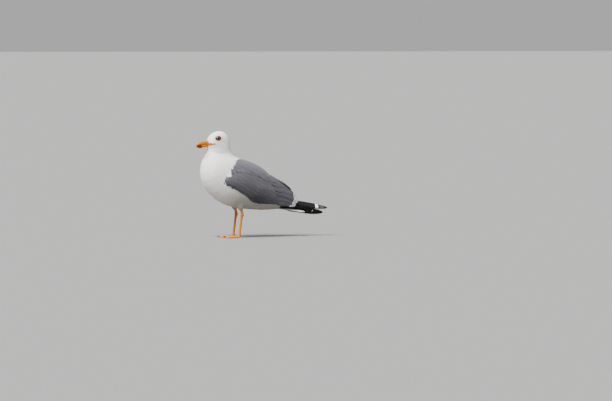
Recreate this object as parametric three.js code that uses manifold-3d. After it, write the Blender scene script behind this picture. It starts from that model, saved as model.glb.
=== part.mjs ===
// A yellow-legged gull, standing at rest: a life-size still model in millimetres, +Z up.
// The bill points along -X, the tail along +X, and the bird's right side is +Y.
// The origin is on the floor, under the middle of the bird's length and width.
//
// Nearly every piece is a closed skin laid through a few named rings. A ring has a top point and a
// bottom point in the bird's own middle plane, or beside it, and a half width. Pieces that would share
// space are cut by their neighbours, so that they meet with a thin gap.

import * as THREE from "three";
import { mergeVertices } from "three/addons/utils/BufferGeometryUtils.js";
import Module from "manifold-3d";

const wasm = await Module();
wasm.setup();

// ---------------------------------------------------------------------------------------------
// Driving dimensions
// ---------------------------------------------------------------------------------------------

const FEET_X = -95; // the feet stand this far ahead of the middle of the bird's length
const GAP = 0.3; // left between two pieces that touch
const LEG_SPREAD = 27; // from the middle plane to each leg
const HEEL_X = -3; // where each foot's toes meet

const EYE = { x: -81.5, y: 21.2, z: 353.5, radius: 8.6, ring: 6.6, ringTube: 1.3, turn: 0.12, tilt: 0.14 };

const TOE = { base: 3.9, tip: 2.5, joints: 3, swell: 0.13 };
const TOES = [
  { name: "inner", length: 44, turn: 25 },
  { name: "middle", length: 56, turn: 0 },
  { name: "outer", length: 52, turn: -24 },
];
const HIND_TOE = { length: 10, turn: 168, base: 2.4, tip: 1.5, lift: 5.5 };
const CLAW = { length: 7.5, radius: 2.1, drop: 1.9 };
const FOOT_TURN = 4; // degrees that each foot points outwards
const WEB = { thickness: 1.5, scallop: 0.8 };

// The outer primaries: shorter says how much shorter each is than the longest, from the outermost in.
const PRIMARY = { width: 27, thickness: 1.3, step: 1.2, shorter: [0, 14, 42, 70] };

// Where each stack of primaries starts and ends. The right wing's tips lie over the left wing's.
const PRIMARY_LAY = {
  left: { root: new THREE.Vector3(158, -20, 107), tip: new THREE.Vector3(341, 13, 82), roll: 55 },
  right: { root: new THREE.Vector3(158, 18, 128), tip: new THREE.Vector3(346, -13, 100), roll: 45 },
};

// The tail's feathers, in pairs on each side of its middle.
const TAIL_FEATHER = { pairs: 3, length: 114, width: 27, thickness: 1.5, droop: 8.5 };

// ---------------------------------------------------------------------------------------------
// Rings: each is { top, low, side }, with top and low as [x, z] and side as half the width. Here x
// counts from the feet, and the whole bird is moved by FEET_X at the end.
// ---------------------------------------------------------------------------------------------

// The whole body, from the root of the tail to the face round the bill: the back's line and crown on
// one side, the belly, breast and chin on the other.
const BODY_RINGS = [
  { top: [226, 112], low: [222, 99], side: 11 },
  { top: [206, 128], low: [184, 99], side: 18 },
  { top: [183, 149], low: [146, 97], side: 26 },
  { top: [164, 171], low: [104, 94.5], side: 35 },
  { top: [148, 193], low: [62, 97], side: 45 },
  { top: [132, 215], low: [20, 101], side: 53 },
  { top: [114, 234], low: [-24, 109], side: 60 },
  { top: [93, 250], low: [-64, 124], side: 64.5 },
  { top: [70, 262], low: [-96, 147], side: 66.5 },
  { top: [46, 271], low: [-119.5, 176], side: 66.5 },
  { top: [22, 278], low: [-133, 204], side: 65 },
  { top: [0, 283.5], low: [-137, 236], side: 60.5 },
  { top: [-16, 290], low: [-132, 266], side: 53 },
  { top: [-25, 300], low: [-123, 289], side: 43.5 },
  { top: [-27.2, 313], low: [-115.5, 302], side: 35.5 },
  { top: [-27.6, 327], low: [-112, 307], side: 31 },
  { top: [-29, 341], low: [-110.6, 309.5], side: 29 },
  { top: [-33, 355], low: [-110, 311.5], side: 28.8 },
  { top: [-42, 368], low: [-110, 313.2], side: 29 },
  { top: [-55, 376], low: [-110.4, 315], side: 28.8 },
  { top: [-70, 378.2], low: [-111, 317], side: 27.6 },
  { top: [-85, 375], low: [-111.8, 319.2], side: 24.6 },
  { top: [-98, 367.5], low: [-112.6, 321.8], side: 19.6 },
  { top: [-107.5, 357], low: [-113.2, 324.6], side: 13.6 },
  { top: [-112.4, 346], low: [-113.6, 327.8], side: 8.6 },
  { top: [-113.8, 339], low: [-113.9, 331], side: 4 },
];

// The upper half of the bill, from inside the face to the hook: culmen above, cutting edge below.
const UPPER_BILL_RINGS = [
  { top: [-101, 343], low: [-101, 334], side: 6 },
  { top: [-109, 343.6], low: [-108.5, 333], side: 7.6 },
  { top: [-118, 342.6], low: [-118, 331.8], side: 7.1 },
  { top: [-128, 341.4], low: [-128, 331], side: 6.2 },
  { top: [-138, 339.6], low: [-137.5, 329.8], side: 5.3 },
  { top: [-146, 336.6], low: [-144, 327.8], side: 4.4 },
  { top: [-151.5, 332], low: [-147.8, 325.6], side: 3.2 },
  { top: [-154.3, 326.4], low: [-150.6, 322.6], side: 1.7 },
  { top: [-154.6, 321.6], low: [-153.6, 320.9], side: 0.5 },
];

// The lower half, with the angle of the gonys two thirds of the way along.
const LOWER_BILL_RINGS = [
  { top: [-101, 333.2], low: [-101, 324], side: 5.6 },
  { top: [-108.5, 332.4], low: [-109, 322.4], side: 6.6 },
  { top: [-118, 331.2], low: [-118, 321.8], side: 6.0 },
  { top: [-128, 330.4], low: [-128, 320.6], side: 5.2 },
  { top: [-136.5, 329.2], low: [-137.5, 318.4], side: 4.5 },
  { top: [-142.5, 327.4], low: [-143, 319.8], side: 3.5 },
  { top: [-147, 325.2], low: [-147.6, 322.4], side: 1.6 },
];

// A folded wing from the wrist to the tips of the tertials. Here top and low are [y, z] on the wing's
// upper and lower edges, bulge is how far its middle stands out, and side is half its thickness.
const WING_RINGS = [
  { x: -74, top: [50, 222], low: [58, 210], bulge: 1, side: 1.5 },
  { x: -66, top: [46, 240], low: [64.5, 194], bulge: 6, side: 4 },
  { x: -48, top: [42, 257], low: [67, 182], bulge: 11, side: 5.5 },
  { x: -23, top: [37, 265], low: [67, 168], bulge: 16, side: 6.5 },
  { x: 7, top: [31, 266], low: [62.5, 148], bulge: 21, side: 7 },
  { x: 36, top: [23, 262], low: [51.5, 123], bulge: 25, side: 7 },
  { x: 72, top: [13, 250], low: [45, 117], bulge: 25, side: 7 },
  { x: 108, top: [7.5, 233], low: [40, 115], bulge: 20, side: 6.5 },
  { x: 144, top: [5.5, 211], low: [33, 111], bulge: 14, side: 5.5 },
  { x: 174, top: [4.5, 196], low: [27, 108], bulge: 9, side: 4.5 },
  { x: 198, top: [4, 179], low: [22, 105], bulge: 7, side: 3.5 },
  { x: 216, top: [4, 159], low: [18, 104], bulge: 5, side: 2.6 },
  { x: 230, top: [5, 141], low: [14, 112], bulge: 2, side: 1.4 },
];

// A leg's feathered thigh, hidden in the belly at its upper end.
const THIGH_RINGS = [
  { top: [27, 134], low: [-19, 134], side: 4 },
  { top: [24, 122], low: [-16, 120], side: 14 },
  { top: [17, 110], low: [-9, 106], side: 12.5 },
  { top: [11.5, 101], low: [-2.5, 98], side: 8 },
  { top: [8.5, 95.5], low: [1, 94.5], side: 3.5 },
];

// The bare leg: tibia, the ankle's swelling, and the long shank down to the foot.
const SHANK_RINGS = [
  { top: [6.5, 108], low: [3.5, 108], side: 1.5 },
  { top: [9, 102], low: [1.6, 101], side: 3.6 },
  { top: [10.6, 93], low: [3.4, 91.5], side: 3.7 },
  { top: [14.4, 84], low: [3.4, 84], side: 4.9 },
  { top: [14.2, 77], low: [3, 78], side: 4.7 },
  { top: [9.8, 68], low: [2.6, 69], side: 3.3 },
  { top: [6.4, 45], low: [-0.4, 46], side: 2.9 },
  { top: [3.4, 22], low: [-3.8, 23], side: 3.1 },
  { top: [2.4, 11], low: [-6.6, 12.5], side: 4.4 },
  { top: [1.4, 5.6], low: [-8.2, 7], side: 4.6 },
  { top: [-1.4, 2.6], low: [-5.6, 3], side: 1.6 },
];

// ---------------------------------------------------------------------------------------------
// Colours
// ---------------------------------------------------------------------------------------------

const plumage = (color) => new THREE.MeshStandardMaterial({ color, roughness: 0.9, metalness: 0 });
const horn = (color) => new THREE.MeshStandardMaterial({ color, roughness: 0.4, metalness: 0 });

const WHITE = plumage("#eceae6");
const GREY = plumage("#8b8d95");
const BLACK = plumage("#1f1f21");
const BILL_YELLOW = horn("#e0a12c");
const LEG_YELLOW = horn("#dd9a2b");
const CLAW_BLACK = horn("#26221e");
const EYE_PALE = new THREE.MeshStandardMaterial({ color: "#c9b45a", roughness: 0.05, metalness: 0 });
const RING_RED = horn("#b4472a");

// ---------------------------------------------------------------------------------------------
// Solids
// ---------------------------------------------------------------------------------------------

/** A three.js geometry as a solid, with its faces turned outwards. */
function solid(geometry) {
  const bare = new THREE.BufferGeometry();
  bare.setAttribute("position", geometry.attributes.position);
  bare.setIndex(geometry.index);
  const merged = mergeVertices(bare, 1e-4);
  const corners = new Uint32Array(merged.index.array);
  const makeSolid = () =>
    new wasm.Manifold(
      new wasm.Mesh({ numProp: 3, vertProperties: merged.attributes.position.array, triVerts: corners })
    );
  const made = makeSolid();
  if (made.volume() > 0) return made;
  for (let i = 0; i < corners.length; i += 3) {
    [corners[i + 1], corners[i + 2]] = [corners[i + 2], corners[i + 1]];
  }
  return makeSolid();
}

/** A solid as a named three.js mesh. */
function meshOf(name, shape, material) {
  const { vertProperties, triVerts } = shape.getMesh();
  const geometry = new THREE.BufferGeometry();
  geometry.setAttribute("position", new THREE.BufferAttribute(new Float32Array(vertProperties), 3));
  geometry.setIndex(new THREE.BufferAttribute(new Uint32Array(triVerts), 1));
  geometry.computeVertexNormals();
  const mesh = new THREE.Mesh(geometry, material);
  mesh.name = name;
  return mesh;
}

/** A smooth curve through one value of every ring, read by a share of the way along. */
function along(rings, point) {
  const curve = new THREE.CatmullRomCurve3(rings.map(point), false, "catmullrom", 0.5);
  return (share) => curve.getPoint(share);
}

/** A closed skin: a sphere whose vertices are moved to place(share of the way along, angle). */
function skin(place, columns, rows) {
  const sphere = new THREE.SphereGeometry(1, columns, rows);
  const { position, uv } = sphere.attributes;
  const poles = [place(1, null), place(0, null)];
  for (let i = 0; i < position.count; i++) {
    const row = Math.floor(i / (columns + 1));
    const column = i % (columns + 1);
    const angle = ((column % columns) / columns) * 2 * Math.PI;
    const share = 1 - row / rows;
    const point = row === 0 ? poles[0] : row === rows ? poles[1] : place(share, angle);
    position.setXYZ(i, point.x, point.y, point.z);
    uv.setXY(i, column / columns, share);
  }
  return solid(sphere);
}

/** A power that keeps the sign: above 2, the fullness makes a ring squarer than an ellipse. */
const fuller = (value, fullness) => Math.sign(value) * Math.abs(value) ** (2 / fullness);

/**
 * A solid laid through rings that stand across the middle plane.
 * grow is added all round, widest is where the ring is widest between its top and low points, and
 * y moves the solid sideways.
 */
function ringSolid(rings, { columns = 20, rows = 24, grow = 0, fullness = 2.1, widest = 0.5, y = 0 } = {}) {
  const topAt = along(rings, (r) => new THREE.Vector3(r.top[0], 0, r.top[1]));
  const lowAt = along(rings, (r) => new THREE.Vector3(r.low[0], 0, r.low[1]));
  const sideAt = along(rings, (r) => new THREE.Vector3(r.side, 0, 0));
  return skin(
    (share, angle) => {
      const top = topAt(share);
      const low = lowAt(share);
      const middle = top.clone().lerp(low, widest);
      if (angle === null) return middle.setY(y);
      const across = top.clone().sub(low).normalize();
      const up = fuller(Math.cos(angle), fullness);
      const reach = (up > 0 ? top : low).distanceTo(middle) + grow;
      const point = middle.addScaledVector(across, up * reach);
      return point.setY(y + fuller(Math.sin(angle), fullness) * (sideAt(share).x + grow));
    },
    columns,
    rows
  );
}

/** A folded wing's thin shell. hand is -1 for the left wing and +1 for the right. */
function wingSolid(hand, grow = 0) {
  const topAt = along(WING_RINGS, (r) => new THREE.Vector3(r.x, r.top[0], r.top[1]));
  const lowAt = along(WING_RINGS, (r) => new THREE.Vector3(r.x, r.low[0], r.low[1]));
  const shapeAt = along(WING_RINGS, (r) => new THREE.Vector3(r.bulge, r.side, 0));
  return skin(
    (share, angle) => {
      const top = topAt(share);
      const low = lowAt(share);
      const { x: bulge, y: half } = shapeAt(share);
      const chord = low.clone().sub(top);
      const down = angle === null ? 0.5 : (1 - Math.cos(angle)) / 2;
      const outward = new THREE.Vector3(0, -chord.z, chord.y).normalize();
      const slope = (bulge * 4 * (1 - 2 * down)) / chord.length();
      const point = top.clone().addScaledVector(chord, down);
      point.addScaledVector(outward, bulge * 4 * down * (1 - down));
      if (angle !== null) {
        chord.normalize();
        const lengthwise = chord.clone().addScaledVector(outward, slope).normalize();
        const across = outward.clone().addScaledVector(chord, -slope).normalize();
        point.addScaledVector(lengthwise, -Math.cos(angle) * grow);
        point.addScaledVector(across, Math.sin(angle) * (half + grow));
      }
      return point.multiply(new THREE.Vector3(1, hand, 1));
    },
    14,
    18
  );
}

/** A flat feather along +X from its root at the origin, with a rounded tip. grow is added all round. */
function featherBlade(length, width, thickness, tipShare, grow = 0) {
  const half = width / 2 + grow;
  const end = length + grow;
  const outline = new THREE.Shape();
  outline.moveTo(-grow, -half * 0.7);
  outline.lineTo(end * (1 - tipShare), -half);
  outline.quadraticCurveTo(end * 0.97, -half * 0.9, end, 0);
  outline.quadraticCurveTo(end * 0.97, half * 0.9, end * (1 - tipShare), half);
  outline.lineTo(-grow, half * 0.7);
  outline.closePath();
  const depth = thickness + 2 * grow;
  const blade = new THREE.ExtrudeGeometry(outline, { depth, bevelEnabled: false, curveSegments: 2 });
  return blade.translate(0, 0, -grow);
}

/** Moves a geometry by turns about X, Y and Z in degrees, in that order, and then to a place. */
function placed(geometry, [turnX, turnY, turnZ], at) {
  const radians = THREE.MathUtils.degToRad;
  return geometry
    .rotateX(radians(turnX))
    .rotateY(radians(turnY))
    .rotateZ(radians(turnZ))
    .translate(at.x, at.y, at.z);
}

/** Every solid in the list as one. */
const joined = (solids) => solids.reduce((whole, next) => whole.add(next));

/** One solid with the others cut out of it. */
const cutBy = (shape, cutters) => cutters.reduce((left, cutter) => left.subtract(cutter), shape);

/** The part of a solid on the side that a plane's normal points to. The plane holds the two points. */
function beyond(shape, [x1, z1], [x2, z2], shift) {
  const normal = new THREE.Vector3(z1 - z2, 0, x2 - x1).normalize();
  return shape.trimByPlane([normal.x, 0, normal.z], normal.dot(new THREE.Vector3(x1, 0, z1)) + shift);
}

/** The part of a solid on the other side of the same plane. */
function before(shape, [x1, z1], [x2, z2], shift) {
  return beyond(shape, [x2, z2], [x1, z1], shift);
}

// ---------------------------------------------------------------------------------------------
// Sub-parts
// ---------------------------------------------------------------------------------------------

const HANDS = [
  { side: "left", hand: -1 },
  { side: "right", hand: 1 },
];

/** An eyeball, a little proud of the cheek. */
function eyeball(hand, grow = 0) {
  const ball = new THREE.SphereGeometry(EYE.radius + grow, 10, 7);
  return solid(ball.translate(EYE.x, hand * EYE.y, EYE.z));
}

/** The ring of bare skin round an eye, turned a little forwards and upwards with the cheek. */
function eyeRing(hand, grow = 0) {
  const { radius, ring, ringTube, turn, tilt } = EYE;
  const out = Math.sqrt(radius ** 2 - ring ** 2) + 0.9;
  const torus = new THREE.TorusGeometry(ring, ringTube + grow, 4, 12);
  torus.rotateX(Math.PI / 2).translate(0, hand * out, 0).rotateX(hand * tilt).rotateZ(hand * turn);
  return solid(torus.translate(EYE.x, hand * EYE.y, EYE.z));
}

const LENGTHWISE = new THREE.Vector3(1, 0, 0);

/** The wing tip: the outer primaries, sloped like a roof, so that each reaches past the one above it. */
function primaries(hand, grow = 0) {
  const { root, tip, roll } = PRIMARY_LAY[hand < 0 ? "left" : "right"];
  const reach = tip.clone().sub(root);
  const turnZ = THREE.MathUtils.radToDeg(Math.atan2(reach.y, reach.x));
  const turnY = -THREE.MathUtils.radToDeg(Math.atan2(reach.z, Math.hypot(reach.x, reach.y)));
  const slant = THREE.MathUtils.degToRad(roll);
  const longest = reach.length();
  return joined(
    PRIMARY.shorter.map((shorter, i) => {
      const blade = featherBlade(longest - shorter, PRIMARY.width - i * 1.2, PRIMARY.thickness, 0.22, grow);
      const step = new THREE.Vector3(0, 0, PRIMARY.step * i).applyAxisAngle(LENGTHWISE, -hand * slant);
      return solid(placed(blade, [-hand * roll, turnY, turnZ + hand * 0.7 * i], root.clone().add(step)));
    })
  );
}

/** The tail: pairs of feathers in a narrow fan, the middle pair on top. */
function tailFan(grow = 0) {
  const { pairs, length, width, thickness, droop } = TAIL_FEATHER;
  const feathers = [];
  for (let i = 0; i < pairs; i++) {
    for (const { hand } of HANDS) {
      const blade = featherBlade(length - i * 2.5, width, thickness, 0.12, grow);
      const at = new THREE.Vector3(150, hand * (1 + i * 2.4), 104 - i * 1.6);
      feathers.push(solid(placed(blade, [hand * 3, droop, hand * (0.6 + i * 2.2)], at)));
    }
  }
  return joined(feathers);
}

/** One toe as a turned bar with swollen joints, pointing along -X from the origin. */
function toe({ length, base = TOE.base, tip = TOE.tip, lift = 0 }) {
  const steps = 7;
  const profile = [];
  for (let i = 0; i <= steps; i++) {
    const share = i / steps;
    const swell = 1 + TOE.swell * Math.cos(share * TOE.joints * 2 * Math.PI);
    const round = i === 0 || i === steps ? 0 : Math.sqrt(1 - (2 * share - 1) ** 10);
    profile.push(new THREE.Vector2(THREE.MathUtils.lerp(base, tip, share) * swell * round, share * length));
  }
  const bar = new THREE.LatheGeometry(profile, 6);
  return bar.rotateZ(Math.PI / 2).translate(0, 0, base * 0.72 + lift);
}

/** The web between three toes: a flat sheet whose free edges are scalloped. */
function web(hand) {
  const tipOf = ({ length, turn }) => {
    const angle = THREE.MathUtils.degToRad(hand * turn);
    return new THREE.Vector2(-length * Math.cos(angle), -length * Math.sin(angle));
  };
  const [inner, middle, outer] = TOES.map(tipOf);
  const between = (a, b) => a.clone().add(b).multiplyScalar(WEB.scallop / 2);
  const [first, second] = [between(inner, middle), between(middle, outer)];
  const outline = new THREE.Shape();
  outline.moveTo(3, 0);
  outline.lineTo(inner.x * 0.97, inner.y * 0.97);
  outline.quadraticCurveTo(first.x, first.y, middle.x * 0.98, middle.y);
  outline.quadraticCurveTo(second.x, second.y, outer.x * 0.97, outer.y * 0.97);
  outline.closePath();
  return new THREE.ExtrudeGeometry(outline, { depth: WEB.thickness, bevelEnabled: false, curveSegments: 4 });
}

/** A claw as a small bent horn at the end of a toe that points along -X. */
function claw({ length }, grow = 0) {
  const height = TOE.base * 0.72 + 0.5;
  const steps = 4;
  const rings = [];
  for (let i = 0; i <= steps; i++) {
    const share = i / steps;
    const radius = CLAW.radius * Math.sqrt(1 - share * 0.94);
    const x = -(length - 2.5) - CLAW.length * share;
    const z = height - CLAW.drop * share * share;
    rings.push({ top: [x, z + radius], low: [x, z - radius], side: radius * 0.75 });
  }
  return ringSolid(rings, { columns: 6, rows: 5, fullness: 2, grow });
}

/** Turns a solid that points along -X to a toe's own direction, and moves it under the leg. */
function underLeg(shape, turn, hand) {
  const spun = shape.rotate([0, 0, hand * (turn - FOOT_TURN)]);
  return spun.translate([HEEL_X, hand * LEG_SPREAD, 0]);
}

/** Whatever is above the floor, so that a foot stands on flats at one level. */
const onFloor = (shape) => shape.trimByPlane([0, 0, 1], 0);

/** A foot: three webbed toes round the ball of the foot. */
function foot(hand) {
  const toes = TOES.map((t) => underLeg(solid(toe(t)), t.turn, hand));
  const ball = solid(new THREE.SphereGeometry(5.6, 10, 6).translate(HEEL_X - 1, hand * LEG_SPREAD, 3.4));
  return onFloor(joined([underLeg(solid(web(hand)), 0, hand), ...toes, ball]));
}

/** The small hind toe, which grows from the back of the shank. */
function hindToe(hand, grow = 0) {
  const { base, tip } = HIND_TOE;
  return underLeg(solid(toe({ ...HIND_TOE, base: base + grow, tip: tip + grow })), HIND_TOE.turn, hand);
}

// ---------------------------------------------------------------------------------------------
// The bird
// ---------------------------------------------------------------------------------------------

const gull = new THREE.Group();
gull.position.x = FEET_X;
const add = (name, shape, material) => gull.add(meshOf(name, shape, material));

// The planes that part the head, the neck, the trunk and the tail's coverts, each by two points [x, z].
const HEAD_CUT = [[-112, 307], [-20, 324]];
const NECK_CUT = [[-136, 262], [-8, 290]];
const RUMP_CUT = [[62, 90], [160, 200]];

const body = ringSolid(BODY_RINGS, { columns: 20, rows: 30, fullness: 2.15, widest: 0.52 });

const billShape = { columns: 10, rows: 11, fullness: 2.3 };
const upperBill = ringSolid(UPPER_BILL_RINGS, { ...billShape, widest: 0.7 });
const lowerBill = ringSolid(LOWER_BILL_RINGS, { ...billShape, widest: 0.35 });
const billRoom = [
  ringSolid(UPPER_BILL_RINGS, { ...billShape, widest: 0.7, grow: GAP }),
  ringSolid(LOWER_BILL_RINGS, { ...billShape, widest: 0.35, grow: GAP }),
];

const wings = HANDS.map(({ hand }) => wingSolid(hand));
const wingRoom = HANDS.map(({ hand }) => wingSolid(hand, GAP));
const eyeRoom = HANDS.map(({ hand }) => eyeball(hand, GAP));
const ringRoom = HANDS.map(({ hand }) => eyeRing(hand, GAP));
const tail = tailFan();
const tailRoom = tailFan(GAP);
const primaryRoom = HANDS.map(({ hand }) => primaries(hand, GAP));
const leftPrimaries = cutBy(primaries(-1), [...wingRoom, tailRoom]);
const rightPrimaries = cutBy(primaries(1), [...wingRoom, tailRoom, primaryRoom[0]]);

const legShape = { columns: 8, rows: 12, fullness: 2 };
const thighShape = { columns: 10, rows: 7, fullness: 2 };

const head = beyond(body, ...HEAD_CUT, GAP / 2);
add("head", cutBy(head, [...billRoom, ...eyeRoom, ...ringRoom]), WHITE);

const belowHead = before(body, ...HEAD_CUT, GAP / 2);
add("neck", beyond(belowHead, ...NECK_CUT, GAP / 2), WHITE);

const thighRooms = [];
HANDS.forEach(({ side, hand }) => {
  const y = hand * LEG_SPREAD;
  const shank = ringSolid(SHANK_RINGS, { ...legShape, y }).add(hindToe(hand));
  const shankRoom = ringSolid(SHANK_RINGS, { ...legShape, y, grow: GAP }).add(hindToe(hand, GAP));
  const thigh = ringSolid(THIGH_RINGS, { ...thighShape, y });
  thighRooms.push(ringSolid(THIGH_RINGS, { ...thighShape, y, grow: GAP }), shankRoom);
  add(`${side}_thigh`, cutBy(thigh, [shankRoom]), WHITE);
  add(`${side}_leg`, shank, LEG_YELLOW);
  const claws = TOES.map((t) => ({ name: t.name, shape: onFloor(underLeg(claw(t), t.turn, hand)) }));
  const clawRooms = TOES.map((t) => underLeg(claw(t, GAP), t.turn, hand));
  add(`${side}_foot`, cutBy(foot(hand), [shankRoom, ...clawRooms]), LEG_YELLOW);
  claws.forEach(({ name, shape }) => add(`${side}_${name}_claw`, shape, CLAW_BLACK));
});

const trunk = before(belowHead, ...NECK_CUT, GAP / 2);
const trunkCutters = [...wingRoom, ...thighRooms, tailRoom, ...primaryRoom];
add("trunk", cutBy(beyond(trunk, ...RUMP_CUT, GAP / 2), trunkCutters), WHITE);
add("rump", cutBy(before(trunk, ...RUMP_CUT, GAP / 2), trunkCutters), WHITE);
add("tail", tail, WHITE);

add("upper_bill", upperBill, BILL_YELLOW);
add("lower_bill", cutBy(lowerBill, [billRoom[0]]), BILL_YELLOW);
HANDS.forEach(({ side, hand }, i) => {
  add(`${side}_eye`, cutBy(eyeball(hand), [ringRoom[i]]), EYE_PALE);
  add(`${side}_eye_ring`, eyeRing(hand), RING_RED);
  add(`${side}_wing`, wings[i], GREY);
  add(`${side}_primaries`, [leftPrimaries, rightPrimaries][i], BLACK);
});

export default gull;
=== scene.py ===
"""The looks of a yellow-legged gull that stands at rest: a life-size still model.

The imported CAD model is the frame. Skin, feathers, bill, eyes, legs and feet are built round it here.
Sizes are in millimetres and are counted from the point on the floor under the feet, with the bill
towards -X, the tail towards +X and the bird's right side towards +Y. Blender's own unit is the metre,
so every mesh passes through in_frame() once, on its way into the scene.
"""

import logging
import math
from dataclasses import dataclass, field
from enum import Enum
from typing import Callable, Sequence

import bmesh
import bpy
import numpy as np
from bmesh.types import BMesh
from bpy.types import Material, Mesh, NodeSocket, NodeTree, Object
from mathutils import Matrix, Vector
from mathutils.bvhtree import BVHTree


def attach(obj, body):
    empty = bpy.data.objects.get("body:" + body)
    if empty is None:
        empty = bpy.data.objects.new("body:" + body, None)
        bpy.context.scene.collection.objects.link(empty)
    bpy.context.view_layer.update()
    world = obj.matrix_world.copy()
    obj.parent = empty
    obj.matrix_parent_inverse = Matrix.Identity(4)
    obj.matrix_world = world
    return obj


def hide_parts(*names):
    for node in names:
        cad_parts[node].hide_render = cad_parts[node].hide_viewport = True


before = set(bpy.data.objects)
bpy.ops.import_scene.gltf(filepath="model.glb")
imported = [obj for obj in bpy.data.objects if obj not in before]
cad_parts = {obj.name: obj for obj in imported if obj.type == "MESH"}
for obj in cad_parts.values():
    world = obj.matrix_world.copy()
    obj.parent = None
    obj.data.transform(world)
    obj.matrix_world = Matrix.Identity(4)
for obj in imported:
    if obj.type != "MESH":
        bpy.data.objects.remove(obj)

log = logging.getLogger("gull")

MM = 0.001
FEET_X = -95.0  # where the feet stand, in millimetres along the frame's X
BODY = "root"
BAKE_MAP = "OFBake"  # the UV map for baking colours
VECTOR = "FLOAT_VECTOR"

Array = np.ndarray
Triple = tuple[float, float, float]
Pairs = tuple[tuple[float, float], ...]  # a table: places, and the value at each


# ---- Small helpers ----


def in_frame(points: Array) -> Array:
    """Turns millimetres from the feet into the frame's metres."""
    return (np.asarray(points, dtype=float) + (FEET_X, 0.0, 0.0)) * MM


def from_feet(points: Array) -> Array:
    """Turns the frame's metres into millimetres from the feet."""
    return np.asarray(points, dtype=float) / MM - (FEET_X, 0.0, 0.0)


def linear(colour: str) -> tuple[float, float, float, float]:
    """Turns an sRGB hex colour into the linear values that a shader reads.

    Args:
        colour: the colour as "#rrggbb".

    Returns:
        Red, green, blue and an alpha of 1.
    """
    parts = [int(colour[i : i + 2], 16) / 255 for i in (1, 3, 5)]
    return (*(c / 12.92 if c <= 0.04045 else ((c + 0.055) / 1.055) ** 2.4 for c in parts), 1.0)


def smooth_step(value: Array, start: float, end: float) -> Array:
    """A soft rise from 0 at start to 1 at end."""
    share = np.clip((np.asarray(value) - start) / (end - start), 0.0, 1.0)
    return share * share * (3 - 2 * share)


def mixed(first: Array, second: Array, share: Array) -> Array:
    """A blend of two values, from first at 0 to second at 1."""
    return first + (second - first) * share


def unit(vectors: Array) -> Array:
    """Vectors of length 1 along the given ones."""
    return vectors / np.maximum(np.linalg.norm(vectors, axis=-1, keepdims=True), 1e-9)


@dataclass(frozen=True)
class Wire:
    """What comes out of a node. Reckoning with it adds the Math nodes that do the sum."""

    wiring: "Wiring"
    socket: NodeSocket | None

    def __add__(self, other: object) -> "Wire":
        """The sum."""
        return self.wiring.math("ADD", self, other)

    def __sub__(self, other: object) -> "Wire":
        """The difference."""
        return self.wiring.math("SUBTRACT", self, other)

    def __rsub__(self, other: object) -> "Wire":
        """The difference from a plain number."""
        return self.wiring.math("SUBTRACT", other, self)

    def __mul__(self, other: object) -> "Wire":
        """The product."""
        return self.wiring.math("MULTIPLY", self, other)

    def __abs__(self) -> "Wire":
        """Its size without a sign."""
        return self.wiring.math("ABSOLUTE", self)


@dataclass
class Wiring:
    """A shader or geometry tree, and short ways to add nodes to it."""

    tree: NodeTree

    def put(self, kind: str, inputs: dict | None = None, output: str = "", **settings: object) -> Wire:
        """Adds a node.

        Args:
            kind: the node's type name.
            inputs: values or wires, by the input's name, or by its place among the live inputs.
            output: the name of the output that is wanted, or nothing for the first live one.
            settings: the node's own settings, by name.

        Returns:
            The wire that comes out.
        """
        node = self.tree.nodes.new(kind)
        for name, value in settings.items():
            setattr(node, name, value)
        live = [socket for socket in node.inputs if socket.enabled]
        for key, value in (inputs or {}).items():
            socket = live[key] if isinstance(key, int) else next(s for s in live if s.name == key)
            if isinstance(value, Wire):
                self.tree.links.new(value.socket, socket)
            else:
                socket.default_value = value
        return Wire(self, next((s for s in node.outputs if s.enabled and output in ("", s.name)), None))

    def math(self, operation: str, *values: object) -> Wire:
        """A Math node's result."""
        return self.put("ShaderNodeMath", dict(enumerate(values)), operation=operation)

    def vector(self, operation: str, *values: object) -> Wire:
        """A Vector Math node's result."""
        return self.put("ShaderNodeVectorMath", dict(enumerate(values)), operation=operation)


def catmull_rom(values: Array, shares: Array) -> Array:
    """A smooth curve through values that are evenly apart.

    Args:
        values: one row for each value.
        shares: where to read the curve, from 0 at the first value to 1 at the last.

    Returns:
        One row for each share.
    """
    padded = np.vstack([2 * values[0] - values[1], values, 2 * values[-1] - values[-2]])
    place = np.clip(shares, 0, 1) * (len(values) - 1)
    start = np.minimum(place.astype(int), len(values) - 2)
    t = (place - start)[:, None]
    a, b, c, d = (padded[start + i] for i in range(4))
    return 0.5 * (2 * b + (c - a) * t + (2 * a - 5 * b + 4 * c - d) * t**2 + (3 * b - a - 3 * c + d) * t**3)


# ---- Named choices ----


class Side(Enum):
    """A side of the bird, with the sign of its Y."""

    LEFT = -1
    RIGHT = 1

    @property
    def word(self) -> str:
        """The side's name in the names of nodes and pieces."""
        return self.name.lower()


class Slot(Enum):
    """The record's material slots."""

    BODY = "body_plumage"
    TAIL = "tail_plumage"
    GREY = "grey_plumage"
    BLACK = "black_plumage"
    LEG = "leg_skin"
    RING = "eye_ring"
    BILL = "bill"
    CLAW = "claw"
    EYE = "eye"


class Tract(Enum):
    """A field of the skin that wears feathers of one kind."""

    HEAD = 0
    NECK = 1
    BREAST = 2
    BELLY = 3
    MANTLE = 4
    RUMP = 5
    LEFT_THIGH = 6
    RIGHT_THIGH = 7
    LEFT_WING = 8
    RIGHT_WING = 9
    LEFT_SCAPULARS = 10
    RIGHT_SCAPULARS = 11


GREY_TRACTS = (Tract.MANTLE, Tract.LEFT_WING, Tract.RIGHT_WING, Tract.LEFT_SCAPULARS, Tract.RIGHT_SCAPULARS)

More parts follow.
